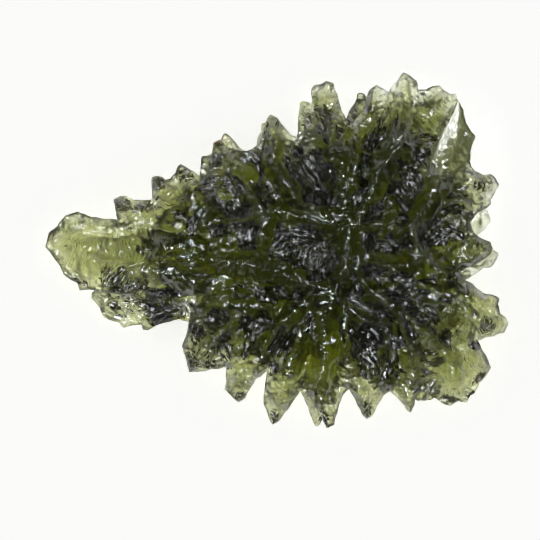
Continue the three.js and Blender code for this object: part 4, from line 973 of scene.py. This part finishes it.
# How much of its roughness and its painted shade the ground keeps where the stone is thin.
THIN_CRUMPLE, THIN_PAINTED_SHADE = 0.4, 0.55


def placed(mesh):
    """Stands the mesh over the origin, in metres. Gives each point's place in the tables' plan, and whether
    it faces up."""
    points = np.empty(3 * len(mesh.vertices))
    mesh.vertices.foreach_get("co", points)
    points = points.reshape(-1, 3)
    x, y = points[:, 0].copy(), points[:, 1].copy()
    centre = (points.min(0) + points.max(0)) / 2
    points -= [centre[0], centre[1], points[:, 2].min()]
    mesh.vertices.foreach_set("co", (points * MM).ravel())
    mesh.update()
    normals = np.empty(3 * len(mesh.vertices))
    mesh.vertex_normals.foreach_get("vector", normals)
    return x, y, normals.reshape(-1, 3)[:, 2] > 0


def etching(x, y, depth, ridges, seed, on_top):
    """What the etched ground of one side is like at each point."""
    wx, wy = warped(x, y, seed)
    ground = ground_at(wx, wy, ridges, on_top)
    # Painted shade for the base colour: dark in patches, in valleys where the stone is thick, and in the
    # shaded places.
    gloom = np.maximum(ground.patch * (THIN_PAINTED_SHADE + (1 - THIN_PAINTED_SHADE) * depth), ground.valley * depth)
    return {
        "strand": ground.strand,
        "along": ground.along,
        "clear": ground.clear,
        "crumple": np.maximum(ground.patch, ground.valley * (THIN_CRUMPLE + (1 - THIN_CRUMPLE) * depth)),
        "gloom": np.maximum(gloom, share_in(wx, wy, PAINTED_SHADE_SPOTS) * on_top),
        "crest": 1 - smooth(*CREST_EDGE, ground.across),
    }


def appearance(x, y, faces_up):
    """All that the glass reads at each point of the mesh."""
    under_upper = inside(x, y, loop(UPPER_RIM))
    # The upper sheet's painted shadow on the lower sheet: tinted as thick ground, and with no clear ground.
    shaded_below = share_in(x, y, LOWER_PAINTED_SHADE)
    depth = smooth(*THICK, np.where(under_upper, rim_distances(x, y, loop(UPPER_RIM)), 0))
    depth = np.maximum(depth * share_in(x, y, DEEP), shaded_below)
    pale = share_in(x, y, PALES)
    thin_sheet = ~under_upper | inside(x, y, loop(FIN_RIM))
    calm = pale * thin_sheet * faces_up
    fields = {"depth": depth, "pale": pale, "clay": share_in(x, y, CLAY), "calm": calm}
    for side, ridges, seed, on_top in ((faces_up, list(RIDGES.values()), TOP, True),
                                       (~faces_up, under_ridges(loop(LOWER_RIM)), UNDER, False)):
        for name, values in etching(x[side], y[side], depth[side], ridges, seed, on_top).items():
            fields.setdefault(name, np.zeros(len(x)))[side] = values
    fields["clear"] *= 1 - shaded_below
    return fields


def stone():
    mesh = joined(upper_leaf(), lower_leaf(), fin())
    fields = appearance(*placed(mesh))
    for name, values in fields.items():
        mesh.attributes.new(name, "FLOAT", "POINT").data.foreach_set("value", values)
    mesh.shade_smooth()
    mesh.set_sharp_from_angle(angle=math.radians(SHARP_ANGLE))
    mesh.materials.clear()
    mesh.materials.append(glass(fields))
    piece = added("moldavite_stone", mesh)
    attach(piece, "root")
    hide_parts("moldavite")
    print("triangles", sum(len(p.vertices) - 2 for p in mesh.polygons))


# ------------------------------
# Table, light and camera. Sizes and distances are in metres, and directions in degrees.

TABLE_SIZE = 1.2
TABLE_GAP = 0.0001
TABLE_GLOW = 0.77
# Lamps: direction round from the north, and radiance. The ring's lamps all stand equally high.
RING = ((10, 86), (55, 54), (100, 80), (145, 58), (190, 58), (235, 54), (280, 80), (325, 117))
RING_ELEVATION, RING_DISTANCE, RING_LAMP_SIZE = 74, 0.6, (0.075, 0.075)
# The lower lamps: name, direction round from the north, elevation and radiance.
LAMPS = (("north lamp", 15, 50, 60), ("east lamp", 75, 55, 60), ("south lamp", 190, 52, 50),
         ("west lamp", 255, 48, 60))
LAMP_DISTANCE, LAMP_SIZE = 0.5, (0.06, 0.05)
LAMP_COLOR = (0.95, 0.98, 1.0)
WORLD_STRENGTH = 0.05
# The photograph: how wide a view it shows at a height over the table, and the view's middle.
CAMERA_DISTANCE = 0.45
VIEW_WIDTH = 54 * MM
VIEW_CENTRE = -0.67 * MM, -2.0 * MM
VIEW_HEIGHT = 4.5 * MM
SENSOR_WIDTH = 36


def table():
    mesh = bpy.data.meshes.new("table")
    half = TABLE_SIZE / 2
    corners = [(-half, -half, 0), (half, -half, 0), (half, half, 0), (-half, half, 0)]
    mesh.from_pydata(corners, [], [(0, 1, 2, 3)])
    material = bpy.data.materials.new("table")
    material.use_nodes = True
    inputs = material.node_tree.nodes["Principled BSDF"].inputs
    inputs["Base Color"].default_value = (0.8, 0.8, 0.8, 1)
    inputs["Roughness"].default_value = 0.8
    inputs["Specular IOR Level"].default_value = 0
    inputs["Emission Color"].default_value = (1, 1, 0.99, 1)
    inputs["Emission Strength"].default_value = TABLE_GLOW
    mesh.materials.append(material)
    obj = added("table", mesh)
    obj.location.z = -TABLE_GAP


def area_light(name, azimuth, elevation, distance, size, radiance, color=LAMP_COLOR):
    light = bpy.data.lights.new(name, "AREA")
    light.shape = "RECTANGLE"
    light.size, light.size_y = size
    light.energy = radiance * math.pi * size[0] * size[1]
    light.color = color
    obj = added(name, light)
    a, e = math.radians(azimuth), math.radians(elevation)
    place = Vector((math.sin(a) * math.cos(e), math.cos(a) * math.cos(e), math.sin(e))) * distance
    obj.location = place
    obj.rotation_euler = (-place).to_track_quat("-Z", "Y").to_euler()
    return obj


def lights():
    fill = area_light("fill", azimuth=0, elevation=90, distance=1.0, size=(2.4, 2.4), radiance=0.3,
                      color=(1, 1, 1))
    fill.visible_glossy = False
    fill.visible_transmission = False
    lamps = [area_light(f"ring {azimuth}", azimuth, RING_ELEVATION, RING_DISTANCE, RING_LAMP_SIZE, radiance)
             for azimuth, radiance in RING]
    lamps += [area_light(name, azimuth, elevation, LAMP_DISTANCE, LAMP_SIZE, radiance)
              for name, azimuth, elevation, radiance in LAMPS]
    for lamp in lamps:
        lamp.visible_diffuse = False
    world = bpy.data.worlds.new("studio")
    bpy.context.scene.world = world
    world.use_nodes = True
    background = world.node_tree.nodes["Background"].inputs
    background["Color"].default_value = (1.0, 1.0, 1.0, 1)
    background["Strength"].default_value = WORLD_STRENGTH


def camera():
    data = bpy.data.cameras.new("camera")
    data.sensor_width = SENSOR_WIDTH
    data.lens = SENSOR_WIDTH * CAMERA_DISTANCE / VIEW_WIDTH
    data.clip_start, data.clip_end = 0.01, 5
    obj = added("camera", data)
    obj.location = (*VIEW_CENTRE, CAMERA_DISTANCE + VIEW_HEIGHT)
    bpy.context.scene.camera = obj


stone()
table()
lights()
camera()
scene = bpy.context.scene
scene.view_settings.view_transform = "Standard"
scene.cycles.max_bounces = 16
scene.cycles.transmission_bounces = 14
scene.cycles.glossy_bounces = 6
scene.cycles.caustics_refractive = True
scene.cycles.caustics_reflective = False
scene.cycles.sample_clamp_indirect = 8
scene.cycles.filter_width = 1.0
